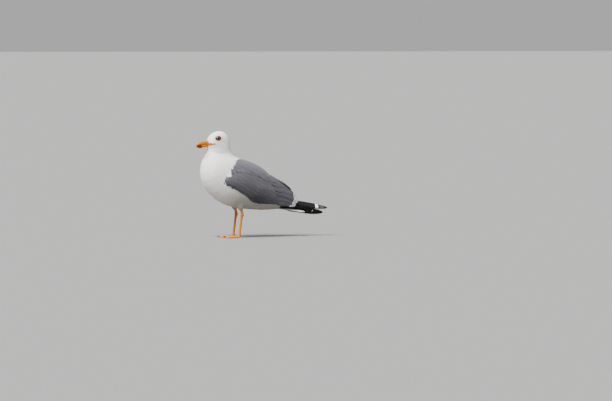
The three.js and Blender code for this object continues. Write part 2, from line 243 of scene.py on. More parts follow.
# The folded wing seen from its side: its upper and its lower edge as (x, z).
WING_TOP = (
    (-74, 222), (-66, 240), (-48, 257), (-23, 265), (7, 266), (36, 262), (72, 250), (108, 233), (144, 211),
    (174, 196), (198, 179), (216, 159), (230, 141),
)
WING_LOW = (
    (-74, 210), (-66, 194), (-48, 182), (-23, 168), (7, 148), (36, 123), (72, 117), (108, 115), (144, 111),
    (174, 108), (198, 105), (216, 104), (230, 112),
)


# ---- Finishes ----


@dataclass
class Paint(Wiring):
    """The shader tree of a finish. Colours are wires or sRGB hex colours."""

    def place(self) -> Wire:
        """Object coordinates, in metres."""
        return self.put("ShaderNodeTexCoord", output="Object")

    def noise(self, size_mm: float, detail: float = 3.0) -> Wire:
        """Noise whose patches are about size_mm across."""
        inputs = {"Vector": self.place(), "Scale": 1 / (size_mm * MM), "Detail": detail}
        return self.put("ShaderNodeTexNoise", inputs)

    def cells(self, size_mm: float, feature: str = "F1") -> Wire:
        """Distances in a net of cells that are about size_mm across."""
        inputs = {"Vector": self.place(), "Scale": 1 / (size_mm * MM)}
        return self.put("ShaderNodeTexVoronoi", inputs, feature=feature)

    def ramp(self, value: Wire, low: float, high: float) -> Wire:
        """A soft rise from 0 at low to 1 at high."""
        inputs = {"Value": value, "From Min": low, "From Max": high}
        return self.put("ShaderNodeMapRange", inputs, interpolation_type="SMOOTHSTEP")

    def blend(self, share: object, first: object, second: object, how: str = "MIX") -> Wire:
        """A mix of two colours."""
        first, second = (linear(colour) if isinstance(colour, str) else colour for colour in (first, second))
        inputs = {"Factor": share, "A": first, "B": second}
        return self.put("ShaderNodeMix", inputs, "Result", data_type="RGBA", blend_type=how)

    def shaded(self, colour: Wire, level: Wire) -> Wire:
        """A colour made darker or lighter by a level."""
        grey = self.put("ShaderNodeCombineColor", {0: level, 1: level, 2: level})
        return self.blend(1.0, colour, grey, "MULTIPLY")

    def bump(self, height: Wire, depth_mm: float, below: Wire | None = None) -> Wire:
        """A bump of that depth, on top of another one if it is given."""
        inputs = {"Height": height, "Distance": depth_mm * MM, "Strength": 1.0}
        return self.put("ShaderNodeBump", inputs | ({} if below is None else {"Normal": below}))

    def attribute(self, name: str, output: str = "Fac") -> Wire:
        """What the mesh carries under that name."""
        return self.put("ShaderNodeAttribute", output=output, attribute_name=name)

    def soft_normal(self, share: float) -> Wire:
        """The face's own normal, drawn towards the body's so that loose barbs close over each step."""
        drawn = self.vector("SCALE", self.attribute("body", "Vector"), share)
        kept = self.vector("SCALE", self.put("ShaderNodeNewGeometry", output="Normal"), 1 - share)
        return self.vector("NORMALIZE", self.vector("ADD", drawn, kept))


@dataclass(frozen=True)
class Finish:
    """A surface as a maker would name it."""

    name: str

    def material(self) -> Material:
        """Builds the material."""
        material = bpy.data.materials.new(self.name)
        material.use_nodes = True
        material.node_tree.nodes.clear()
        paint = Paint(material.node_tree)
        shader = paint.put("ShaderNodeBsdfPrincipled", self.surface(paint))
        paint.put("ShaderNodeOutputMaterial", {"Surface": shader})
        return material

    def surface(self, paint: Paint) -> dict[str, object]:
        """What goes into the Principled shader, by the input's name."""
        raise NotImplementedError


@dataclass(frozen=True)
class Plumage(Finish):
    """Contour feathers: keratin barbs, grown and preened flat.

    The barbs scatter light like matt cloth, with a soft sheen at a glancing angle, and each feather
    shows its shaft, fine streaks along its barbs and a paler worn edge.
    """

    white: str = "#eceae7"
    grey: str = "#5b5a61"
    edge: str = "#86858c"
    # the lower belly's painted shade, with a warm painted reflection
    stain: str = "#bdb9ac"
    streak: str = "#807d7c"
    shaft: str = "#4f4a45"
    streaks: Triple = (4.5, 0.7, 90.0)  # how often they change across, along and by feather
    barb_share: float = 0.055  # a barb's width as a share of the feather: coarser than real ones, to show
    barb_slant: float = 0.45
    roughness: float = 0.85
    sheen: float = 0.15
    softness: float = 0.8

    def surface(self, paint: Paint) -> dict[str, object]:
        """White or grey, with a worn rim, streaks, a shaft and barbs, darkened by painted shade."""
        grey, tone, shade, side, along = map(paint.attribute, ("grey", "tone", "shade", "side", "along"))
        across = abs(side)
        # the white darkens towards the lower belly: painted shade
        white = paint.blend(paint.attribute("stain"), self.white, self.stain)
        rim = paint.math("MAXIMUM", paint.ramp(along, 0.84, 1.0), paint.ramp(across, 0.72, 1.05))
        worn = rim * paint.ramp(paint.noise(9), 0.35, 0.7) * 0.7
        colour = paint.blend(grey, white, paint.blend(worn, self.grey, self.edge))
        places = (value * often for value, often in zip((side, along, tone), self.streaks))
        lines = paint.put("ShaderNodeCombineXYZ", dict(enumerate(places)))
        streak = paint.ramp(paint.put("ShaderNodeTexNoise", {"Vector": lines, "Scale": 1.0}), 0.42, 0.7)
        colour = paint.blend(streak * 0.16, colour, self.streak, "MULTIPLY")
        colour = paint.blend((1.0 - paint.ramp(across, 0.0, 0.08)) * 0.1, colour, self.shaft, "MULTIPLY")
        barbs = paint.math("SINE", (along - across * self.barb_slant) * (math.tau / self.barb_share))
        ruffle = paint.bump(paint.noise(7.0), 0.22, paint.soft_normal(self.softness))
        return {
            # tone differs at random; shade is painted shade, read from the skin
            "Base Color": paint.shaded(colour, tone * shade), "Normal": paint.bump(barbs, 0.02, ruffle),
            "Roughness": self.roughness, "Sheen Weight": self.sheen, "Specular IOR Level": 0.25,
        }


@dataclass(frozen=True)
class FlightFeather(Finish):
    """Quills: long feathers whose barbs hook into one stiff, faintly glossy blade."""

    main: str = "#0d0d0e"
    pale: str = "#dcdbd8"
    edge: str = "#6d6a67"
    edge_share: float = 0.3
    brown: str = "#453e37"
    roughness: float = 0.6
    barb_mm: float = 1.3  # real barbs are about 0.3 mm apart: drawn coarser, to show
    barb_slant: float = 9.0
    ragged: float = 3.0  # how far the borders of the marks waver
    mirror_reach: float = 5.5  # half the length of a white mirror
    brown_reach: float = 8.5  # half the length of the faded web outside it

    def surface(self, paint: Paint) -> dict[str, object]:
        """A plain web with a worn rim, a white tip, a white mirror and its faded surround."""
        marks = ("side", "from_tip", "white_tip", "mirror", "faded", "tone")
        side, from_tip, white_tip, mirror, faded, tone = map(paint.attribute, marks)
        across = abs(side)
        place = from_tip + (paint.noise(2.2) - 0.5) * self.ragged
        colour = paint.blend(self.band(paint, place, faded, self.brown_reach), self.main, self.brown)
        rim = paint.ramp(across, 0.8, 1.0) * paint.ramp(paint.noise(5), 0.3, 0.6)
        colour = paint.blend(rim * self.edge_share, colour, self.edge)
        mirror = self.band(paint, place, mirror, self.mirror_reach) * paint.ramp(across, 0.94, 0.82)
        tip = paint.math("LESS_THAN", place, white_tip)
        colour = paint.blend(paint.math("MAXIMUM", tip, mirror), colour, self.pale)
        barbs = paint.math("SINE", (from_tip + across * self.barb_slant) * (math.tau / self.barb_mm))
        relief = paint.bump(barbs, 0.04, paint.bump(paint.noise(5.0), 0.2))
        return {
            "Base Color": paint.shaded(colour, tone), "Roughness": self.roughness, "Specular IOR Level": 0.2,
            "Normal": paint.bump(paint.ramp(across, 0.09, 0.0), 0.4, relief),
        }

    def band(self, paint: Paint, place: Wire, middle: Wire, reach: float) -> Wire:
        """1 within reach of a place along the feather."""
        return paint.math("LESS_THAN", abs(place - middle), reach)


@dataclass(frozen=True)
class SkinHide(Finish):
    """The hide under the coat: downy skin, with the coat's own markings where it shows between feathers."""

    white: str = "#dedbd7"
    grey: str = "#66676c"
    # painted shade between the downs
    down: str = "#8c8883"

    def surface(self, paint: Paint) -> dict[str, object]:
        """White or grey skin, with painted shade between the downs."""
        colour = paint.blend(paint.attribute("grey"), self.white, self.grey)
        colour = paint.blend(paint.ramp(paint.noise(3.0, 4.0), 0.3, 0.7) * 0.4, colour, self.down, "MULTIPLY")
        return {"Base Color": colour, "Normal": paint.bump(paint.noise(1.2, 5.0), 0.4), "Roughness": 0.9}


@dataclass(frozen=True)
class BillHorn(Finish):
    """The bill's sheath: living horn with a wax-like shine, a red patch near the tip, dusky edges and painted
    shade in the nostrils.
    """

    yellow: str = "#c47800"
    ridge: str = "#b8801c"
    amber: str = "#a05600"
    red: str = "#6b1c12"
    dusk: str = "#4a2014"
    spot: Triple = (-145.0, 0.0, 323.5)
    spot_size: Triple = (11.5, 14.0, 8.2)
    culmen: tuple[float, float] = (339.0, 345.0)  # the heights between which the ridge pales

    def surface(self, paint: Paint) -> dict[str, object]:
        """Yellow horn, uneven in depth, with its red spot, dusky edges and painted shade in the nostril."""
        place = paint.place()
        shifted = paint.vector("SUBTRACT", place, tuple(in_frame(np.array(self.spot))))
        scaled = paint.vector("MULTIPLY", shifted, [1 / (size * MM) for size in self.spot_size])
        spot = paint.ramp(paint.vector("LENGTH", scaled) + paint.noise(4) * 0.4, 1.45, 0.95)
        height = paint.put("ShaderNodeSeparateXYZ", {0: place}, "Z")
        top = paint.ramp(height, self.culmen[0] * MM, self.culmen[1] * MM)
        colour = paint.blend(paint.noise(5) * 0.6, paint.blend(top, self.yellow, self.ridge), self.amber)
        colour = paint.blend(spot, colour, self.red)
        growth = paint.bump(paint.noise(2.6, 4.0), 0.2)
        return {
            "Base Color": paint.blend(paint.attribute("edge"), colour, self.dusk),
            "Normal": paint.bump(paint.noise(0.5, 3.0), 0.04, growth), "Roughness": 0.42, "IOR": 1.54,
            "Specular IOR Level": 0.25, "Subsurface Weight": 0.05, "Subsurface Scale": 0.002,
        }


@dataclass(frozen=True)
class ScaledSkin(Finish):
    """Bare leg and web skin: waxy scutes in front, fine net scales elsewhere, darker in the creases."""

    yellow: str = "#c97400"
    deep: str = "#7a4406"
    dust: str = "#bf7a14"
    scale_mm: float = 1.3

    def surface(self, paint: Paint) -> dict[str, object]:
        """Yellow skin in two depths, dark in its creases and grooves."""
        cells = paint.cells(self.scale_mm, "DISTANCE_TO_EDGE")
        # darker in the creases between scales and in the grooves between scutes
        crease_dark = paint.math("MAXIMUM", paint.ramp(cells, 0.12, 0.0) * 0.55, paint.attribute("groove"))
        colour = paint.blend(paint.ramp(paint.noise(9), 0.35, 0.7), self.yellow, self.dust)
        scales = paint.bump(paint.ramp(cells, 0.0, 0.3), 0.08)
        return {
            "Base Color": paint.blend(crease_dark * 0.75, colour, self.deep),
            "Normal": paint.bump(paint.noise(0.6), 0.06, scales), "Roughness": 0.46,
            "Subsurface Weight": 0.05, "Subsurface Scale": 0.002,
        }


@dataclass(frozen=True)
class ClawHorn(Finish):
    """Claws: dense black keratin, ground smooth by use and paler at the worn point."""

    dark: str = "#231f1c"
    worn: str = "#6b5f52"

    def surface(self, paint: Paint) -> dict[str, object]:
        """Black horn with paler streaks."""
        colour = paint.blend(paint.ramp(paint.noise(1.4, 4.0), 0.45, 0.75) * 0.5, self.dark, self.worn)
        return {"Base Color": colour, "Normal": paint.bump(paint.noise(0.8), 0.08), "Roughness": 0.35}


@dataclass(frozen=True)
class RingSkin(Finish):
    """The bare lids round the eye: beaded brick-red skin with a damp shine, and almost black painted shade at
    the lash line.
    """

    red: str = "#9a4526"
    deep: str = "#561f11"
    lash: str = "#140c0a"
    bead_mm: float = 0.7

    def surface(self, paint: Paint) -> dict[str, object]:
        """Red beads, darker between them, with painted shade at the lids' edge."""
        beads = paint.ramp(paint.cells(self.bead_mm), 0.1, 0.6)
        colour = paint.blend(paint.attribute("lid"), paint.blend(beads, self.red, self.deep), self.lash)
        return {"Base Color": colour, "Normal": paint.bump(1.0 - beads, 0.15), "Roughness": 0.5}


@dataclass(frozen=True)
class EyeGlaze(Finish):
    """An eyeball: iris, pupil and dark rim under a wet, clear cornea, which gives one sharp highlight."""

    iris: str = "#7c3f1e"
    flecks: str = "#4a220f"
    rim: str = "#1c0f0a"
    pupil: str = "#050505"
    pupil_mm: float = 3.7
    iris_mm: float = 6.9

    def surface(self, paint: Paint) -> dict[str, object]:
        """Rings of colour round the pupil, under a clear coat."""
        radius = paint.attribute("iris_radius")
        colour = paint.blend(paint.ramp(paint.noise(0.7, 4.0), 0.35, 0.65), self.iris, self.flecks)
        colour = paint.blend(paint.ramp(radius, self.iris_mm - 1.2, self.iris_mm), colour, self.rim)
        pupil = paint.ramp(radius, self.pupil_mm + 0.15, self.pupil_mm - 0.1)
        colour = paint.blend(pupil, colour, self.pupil)
        cornea = {"Coat Weight": 1.0, "Coat Roughness": 0.03, "Coat IOR": 1.376}
        return {"Base Color": colour, "Roughness": 0.25} | cornea


@dataclass(frozen=True)
class StudioPaper(Finish):
    """The floor: matt seamless backdrop paper, rolled flat, with a faint fibre grain."""

    tint: str = "#7b7b7a"
    fibre: str = "#ffffff"

    def surface(self, paint: Paint) -> dict[str, object]:
        """A plain tint with paler fibres."""
        fibre = paint.noise(4.0, 4.0)
        colour, relief = paint.blend(fibre * 0.08, self.tint, self.fibre), paint.bump(fibre, 0.05)
        return {"Base Color": colour, "Normal": relief, "Roughness": 0.95, "Specular IOR Level": 0.1}


# ---- Meshes ----


def store(mesh: Mesh, name: str, values: Array) -> None:
    """Gives each vertex a number, or a vector, under a name.

    Args:
        mesh: the mesh.
        name: the attribute's name.
        values: one number or one row of three for each vertex.
    """
    values = np.asarray(values, dtype=np.float32)
    kind, key = ("FLOAT", "value") if values.ndim == 1 else (VECTOR, "vector")
    mesh.attributes.new(name, kind, "POINT").data.foreach_set(key, values.ravel())


def mesh_of(name: str, points: Array, faces: Sequence[Sequence[int]], **values: Array) -> Mesh:
    """A smooth mesh from points in millimetres from the feet.

    Args:
        name: the mesh's name.
        points: one row for each vertex.
        faces: the vertices of each face.
        values: numbers for each vertex, by name.

    Returns:
        The mesh, in the frame's metres.
    """
    mesh = bpy.data.meshes.new(name)
    mesh.from_pydata(in_frame(points).tolist(), [], [tuple(int(i) for i in face) for face in faces])
    mesh.update()
    for key, column in values.items():
        store(mesh, key, column)
    mesh.shade_smooth()
    return mesh


def written(work: BMesh, mesh: Mesh | None = None) -> Mesh:
    """Writes an edited mesh down, as a new one unless one is given, and frees it."""
    mesh = mesh or bpy.data.meshes.new("shell")
    work.to_mesh(mesh)
    work.free()
    return mesh


def outwards(mesh: Mesh) -> Mesh:
    """Turns every face of closed shells outwards."""
    work = bmesh.new()
    work.from_mesh(mesh)
    bmesh.ops.recalc_face_normals(work, faces=work.faces)
    return written(work, mesh)


def move(mesh: Mesh, points: Array) -> None:
    """Puts a mesh's vertices in new places."""
    mesh.vertices.foreach_set("co", in_frame(points).ravel())
    mesh.update()


def net_faces(rows: int, columns: int, closed: bool = True) -> list[list[int]]:
    """The four-sided faces of a net, whose last column joins the first one when it is closed."""
    faces = []
    for row in range(rows - 1):
        for c in range(columns if closed else columns - 1):
            a, b, d = row * columns, (row + 1) * columns, (c + 1) % columns
            faces.append([a + c, a + d, b + d, b + c])
    return faces


def flipped(faces: list[list[int]]) -> list[list[int]]:
    """The same faces, seen from their other side."""
    return [[face[0], *face[:0:-1]] for face in faces]


def tube_faces(rows: int, columns: int, pointed: bool = False) -> list[list[int]]:
    """The faces of a closed tube: flat ends, or fans round two points that come after the others."""
    faces, last = net_faces(rows, columns), (rows - 1) * columns
    if not pointed:
        return faces + [list(reversed(range(columns))), [last + c for c in range(columns)]]
    for c in range(columns):
        d = (c + 1) % columns
        faces += [[rows * columns, d, c], [rows * columns + 1, last + c, last + d]]
    return faces


def read(items: bpy.types.bpy_prop_collection, key: str, width: int, kind: type = float) -> Array:
    """What the items of a mesh hold under a name, with one row for each."""
    values = np.empty(len(items) * width, dtype=kind)
    items.foreach_get(key, values)
    return values.reshape(-1, width)


def shown(name: str, mesh: Mesh) -> Object:
    """Puts a mesh into the scene as an object at the origin."""
    piece = bpy.data.objects.new(name, mesh)
    bpy.context.collection.objects.link(piece)
    return piece


def evaluated(piece: Object) -> Mesh:
    """An object's mesh with its modifiers worked into it."""
    graph = bpy.context.evaluated_depsgraph_get()
    return bpy.data.meshes.new_from_object(piece.evaluated_get(graph))


def discard(*helpers: Object) -> None:
    """Takes helper objects out of the scene."""
    for helper in helpers:
        bpy.data.objects.remove(helper, do_unlink=True)


def modified(mesh: Mesh, kind: str, **settings: object) -> Mesh:
    """A mesh with one modifier worked into it."""
    helper = shown("helper", mesh)
    modifier = helper.modifiers.new("helper", kind)
    for name, value in settings.items():
        setattr(modifier, name, value)
    changed = evaluated(helper)
    discard(helper)
    return changed


def dress(name: str, mesh: Mesh, material: Material, slot: Slot, *nodes: str) -> Object:
    """Shows a mesh as a piece of its own, hangs it on the frame's body and hides the CAD nodes that it stands
    for.

    Args:
        name: the piece's name.
        mesh: its mesh.
        material: its finish.
        slot: not used.
        nodes: the CAD nodes that the piece stands for.

    Returns:
        The piece.
    """
    piece = shown(name, mesh)
    mesh.materials.clear()
    mesh.materials.append(material)
    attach(piece, BODY)
    if nodes:
        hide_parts(*nodes)
    log.info("%s: %d faces", name, len(mesh.polygons))
    return piece


def cad_shell(node: str) -> BMesh:
    """A CAD node's solid as a merged, closed shell."""
    shell = bmesh.new()
    shell.from_mesh(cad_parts[node].data)
    bmesh.ops.remove_doubles(shell, verts=shell.verts, dist=0.01 * MM)
    shell.normal_update()
    return shell


def tree_of(*nodes: str) -> BVHTree:
    """A search tree over the solids of some CAD nodes, in metres."""
    points: list[Vector] = []
    faces: list[list[int]] = []
    for node in nodes:
        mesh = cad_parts[node].data
        start = len(points)
        points.extend(v.co.copy() for v in mesh.vertices)
        faces.extend([start + i for i in polygon.vertices] for polygon in mesh.polygons)
    return BVHTree.FromPolygons(points, faces)


def both(name: str) -> tuple[str, str]:
    """The left and the right node of that name."""
    return f"left_{name}", f"right_{name}"


def looked_up(table: Pairs, places: Array) -> Array:
    """The values that a table gives at some places."""
    return np.interp(places, *np.array(table).T)


def plates(places: Array, length: float, rise: float) -> Array:
    """A row of plates: each rises from 0 to 1 over a share of its length and falls back over the rest."""
    share = places / length % 1.0
    return np.where(share < rise, share / rise, (1 - share) / (1 - rise))


@dataclass
class Surface:
    """A mesh as arrays: points in millimetres from the feet, edges, and normals."""

    points: Array
    edges: Array
    normals: Array

    @classmethod
    def of(cls, mesh: Mesh) -> "Surface":
        """Reads a mesh."""
        points, normals = read(mesh.vertices, "co", 3), read(mesh.vertex_normals, "vector", 3)
        return cls(from_feet(points), read(mesh.edges, "vertices", 2, int), normals)

    def blurred(self, values: Array, rounds: int, share: float = 0.5) -> Array:
        """Moves every vertex's values towards its neighbours' mean.

        Args:
            values: one row for each vertex.
            rounds: how many times to do it.
            share: how far towards the mean.

        Returns:
            The new values.
        """
        first, second = self.edges.T
        count = len(self.points)
        neighbours = np.maximum(np.bincount(first, minlength=count) + np.bincount(second, minlength=count), 1)
        values = np.array(values)
        columns = values.reshape(count, -1)
        for _ in range(rounds):
            for column in columns.T:
                total = np.bincount(first, column[second], count) + np.bincount(second, column[first], count)
                column += share * (total / neighbours - column)
        return values


# ---- The skin ----


@dataclass
class BodyAxis:
    """The line through the middle of head, neck and trunk, and the flow of the feathers round it."""

    stations: Pairs = (
        (-116, 334), (-100, 342), (-80, 347), (-67, 340), (-64, 322), (-68, 302), (-72, 280),
        (-66, 250), (-40, 218), (5, 190), (60, 168), (120, 145), (180, 122), (230, 104),
    )
    steps: int = 240
    flow: tuple[Triple, ...] = (  # x, z, and how steeply the feathers fall, in degrees
        (-112, 346, -12), (-100, 360, -4), (-80, 372, 14), (-62, 366, 42), (-48, 348, 66), (-112, 334, 2),
        (-98, 342, 6), (-80, 345, 16), (-64, 338, 48), (-112, 322, 14), (-102, 316, 38), (-96, 304, 72),
        (-72, 318, 66), (-50, 320, 74), (-92, 285, 90), (-70, 290, 84), (-46, 292, 66), (-92, 255, 92),
        (-66, 258, 76), (-34, 268, 46), (-94, 225, 88), (-84, 195, 70), (-60, 205, 52), (-52, 165, 38),
        (-20, 140, 20), (-15, 210, 32), (0, 262, 28), (50, 245, 22), (100, 220, 20), (150, 190, 20),
        (200, 150, 17), (40, 190, 24), (110, 160, 18), (10, 125, 8), (60, 115, 0), (110, 112, -4),
        (160, 108, 2), (200, 104, 6),
    )
    reach: float = 8.0  # how far one entry of the flow holds unmixed, in millimetres

    def __post_init__(self) -> None:
        """Works out the line's points, their directions and how far along each one is."""
        flat = catmull_rom(np.array(self.stations), np.linspace(0, 1, self.steps))
        self.line = np.column_stack([flat[:, 0], np.zeros(self.steps), flat[:, 1]])
        self.tangents = unit(np.gradient(self.line, axis=0))
        lengths = np.linalg.norm(np.diff(self.line, axis=0), axis=1)
        self.share = np.concatenate([[0], np.cumsum(lengths)]) / lengths.sum()

    def nearest(self, points: Array) -> Array:
        """The place on the line nearest to each point."""
        gaps = points[:, None, :] - self.line[None, :, :]
        return np.argmin((gaps**2).sum(axis=2), axis=1)

    def lie(self, points: Array) -> Array:
        """The way that the feathers point at each place."""
        table = np.array(self.flow)
        gaps = ((points[:, None, [0, 2]] - table[None, :, :2]) ** 2).sum(axis=2)
        weights = 1 / (gaps + self.reach**2) ** 2
        fall = np.radians(table[:, 2])
        ahead, down = weights @ np.cos(fall), weights @ np.sin(fall)
        return unit(np.column_stack([ahead, np.zeros(len(points)), -down]))

    def unwrap(self, points: Array) -> Array:
        """The skin unrolled: the angle round the line, from the belly's seam, and how far along it is."""
        at = self.nearest(points)
        away = points - self.line[at]
        tangent = self.tangents[at]
        dorsal = np.column_stack([-tangent[:, 2], np.zeros(len(at)), tangent[:, 0]])
        angle = np.arctan2(away[:, 1], (away * dorsal).sum(axis=1))
        return np.column_stack([angle / math.tau + 0.5, self.share[at], np.zeros(len(at))])


@dataclass
class Skin:
    """One closed hide round head, neck, trunk, thighs and folded wings."""

    voxel: float = 2.4
    inflate: float = 0.7  # closes the thin gaps between the solids
    rounds: int = 26
    bill_cut: float = -112.0  # the hide ends here, inside the root of the bill
    wing_cut: float = 196.0  # behind this the wing is flight feathers alone
    wing_favour: float = 3.0  # how much nearer the flank must be before it wears its own feathers
    root_depth: float = 0.4  # how far the hide lies inside the coat, beside depth_share of a feather's length
    depth_share: float = 0.05
    eye: Triple = (-81.5, 21.2, 352.5)
    ring_radius: float = 11.6
    socket: float = 5.0  # how deep the hide sinks under the eyelids
    ring_flat: float = 1.3  # how much wider than high the lids' rim is
    axis: BodyAxis = field(default_factory=BodyAxis)

    wing_fall: Pairs = ((-74, 44), (0, 31), (100, 24), (200, 19))  # x, and how steeply the coverts fall
    low_fall: Pairs = ((-74, 44), (-20, 37), (20, 33), (50, 22), (80, 10), (110, 6))  # and low on the wing
    low_line: Pairs = ((-66, 215), (4, 180), (32, 152), (216, 122))  # x, and the height between the two
    thigh_fall: Triple = (0.25, 0.0, -1.0)
    coverts_end: Pairs = ((112, 168), (150, 150), (190, 128), (215, 106))  # z, and x where the tertials begin
    grey_front: Pairs = (  # z, and the x where the grey begins
        (205, -84), (211, -82), (232, -78), (243, -56), (260, -54), (278, -37), (287, -18),
    )
    grey_back: Pairs = ((0, 2), (30, -14))  # how far beside the middle, and the x where the grey begins
    grey_nape: Pairs = ((0, 2), (14, -4), (30, -20))  # the same where the neck meets the back
    scapulars: Pairs = ((-30, 262), (8, 246), (39, 230), (72, 228), (135, 211))  # x, and their lower edge
    wing_tone: Pairs = ((0, 0.98), (0.2, 0.84), (0.5, 0.76), (1, 0.74))  # share of the way down, and the tone: painted shade, darker low on the wing
    hem: Pairs = ((-20, 246), (44, 229), (75, 211), (108, 211), (171, 194))  # x, and the height of a painted shadow line under the scapulars' edge
    under_tone: Pairs = ((95, 0.54), (112, 0.6), (150, 0.68), (190, 1.0))  # z, and the white belly's tone: painted shade, darker lower down
    shadows: tuple[tuple[float, ...], ...] = (  # cheek, chin and brow: x, z, half length, half height, depth
        (-66, 322, 27, 12, 0.42), (-80, 311, 28, 6, 0.45), (-81.5, 352.5, 15, 9, 0.55),
    )
    body_length: Pairs = (  # share of the way along the axis, and the feathers' length in millimetres
        (0, 4.5), (0.038, 6), (0.081, 8), (0.112, 9.5), (0.15, 11), (0.2, 13), (0.25, 15.5), (0.3, 18),
        (0.39, 21), (0.5, 24), (0.62, 27), (0.76, 30), (1, 32),
    )
    wing_length: Pairs = ((-74, 13), (-40, 17), (30, 24), (120, 30), (200, 34))  # x, and the feathers' length
    thigh_length: Pairs = ((95, 9), (120, 15))  # z, and the feathers' length
    mouth: Pairs = ((-115, 8), (-109, 6.4), (-97, 2.4), (-91, 0.6), (-90, -1))  # x, and half its height
    mouth_height: float = 333

    def flesh(self) -> list[str]:
        """The CAD nodes that the hide stands for."""
        return ["head", "neck", "trunk", "rump", *both("thigh"), *both("wing")]

    def build(self) -> Object:
        """Makes the hide, with the coat's directions and markings on its vertices."""
        shell = self.wrapped()
        surface = Surface.of(shell)
        points = surface.points
        for share in (0.5, -0.52):
            points = surface.blurred(points, self.rounds, share)
        move(shell, surface.blurred(points, 7))
        surface = Surface.of(shell)
        kinds = np.array(self.labels(surface))
        lengths = surface.blurred(self.lengths(surface.points, kinds), 10)
        beside_wing = surface.blurred((kinds == "wing").astype(float), 12)
        tucked = (kinds != "wing") & (surface.points[:, 0] > -40) & (surface.points[:, 2] < 215)
        lengths = lengths * np.where(tucked, 1 - 0.65 * smooth_step(beside_wing, 0.03, 0.3), 1.0)
        off = (self.mirrored(surface.points) - self.eye) * (1 / self.ring_flat, 0.3, 1)
        beside_eye = np.linalg.norm(off, axis=1)
        depth = mixed(0.6, self.root_depth + self.depth_share * lengths, smooth_step(beside_eye, 9.0, 14.0))
        depth = depth + self.socket * smooth_step(-beside_eye, -8.8, -7.4)
        move(shell, surface.points - surface.normals * (depth + self.inflate)[:, None])
        self.mark(shell, Surface.of(shell), kinds, lengths)
        shell.shade_smooth()
        return dress("skin", shell, SkinHide("downy hide").material(), Slot.BODY, *self.flesh())

    def mirrored(self, points: Array) -> Array:
        """Points moved to the bird's right side."""
        return points * (1, 0, 1) + np.abs(points) * (0, 1, 0)

    def wrapped(self) -> Mesh:
        """Joins the solids, closes their gaps and lays one even net of faces over them."""
        whole = bmesh.new()
        for node in (*self.flesh(), *both("eye"), "upper_bill", "lower_bill"):
            part = cad_shell(node)
            if "bill" in node:
                self.trim(part, self.bill_cut, keep_above=True)
            elif "wing" in node:
                self.trim(part, self.wing_cut, keep_above=False)
            part.normal_update()
            for vertex in part.verts:
                vertex.co += vertex.normal * self.inflate * MM
            whole.from_mesh(written(part))
        return self.largest(modified(written(whole), "REMESH", mode="VOXEL", voxel_size=self.voxel * MM))

    def trim(self, part: BMesh, x: float, keep_above: bool) -> None:
        """Cuts a shell at a place along X and closes the cut."""
        plane = Vector(in_frame(np.array([x, 0, 0])))
        found = bmesh.ops.bisect_plane(
            part, geom=[*part.verts, *part.edges, *part.faces], plane_co=plane, plane_no=(1, 0, 0),
            clear_inner=keep_above, clear_outer=not keep_above,
        )
        rim = [g for g in found["geom_cut"] if isinstance(g, bmesh.types.BMEdge)]
        bmesh.ops.holes_fill(part, edges=rim)

    def largest(self, mesh: Mesh) -> Mesh:
        """Deletes loose bubbles, so that one shell is left."""
        work = bmesh.new()
        work.from_mesh(mesh)
        left = set(work.verts)
        islands: list[set] = []
        while left:
            island, edge = set(), [left.pop()]
            while edge:
                vertex = edge.pop()
                island.add(vertex)
                beside = {e.other_vert(vertex) for e in vertex.link_edges} & left
                left -= beside
                edge.extend(beside)
            islands.append(island)
        islands.sort(key=len)
        for island in islands[:-1]:
            bmesh.ops.delete(work, geom=list(island), context="VERTS")
        return written(work, mesh)

    def labels(self, surface: Surface) -> list[str]:
        """The kind of CAD node nearest to each vertex."""
        trees = {name: tree_of(name) for name in ("head", "neck", "trunk", "rump")}
        trees |= {name: tree_of(*both(name)) for name in ("thigh", "wing")}
        names = list(trees)
        favour = np.array([self.wing_favour * MM if name == "wing" else 0.0 for name in names])
        found = np.empty((len(surface.points), len(names)))
        for row, point in enumerate(in_frame(surface.points)):
            here = Vector(point)
            for column, name in enumerate(names):
                found[row, column] = trees[name].find_nearest(here)[3]
        return [names[i] for i in (found - favour).argmin(axis=1)]

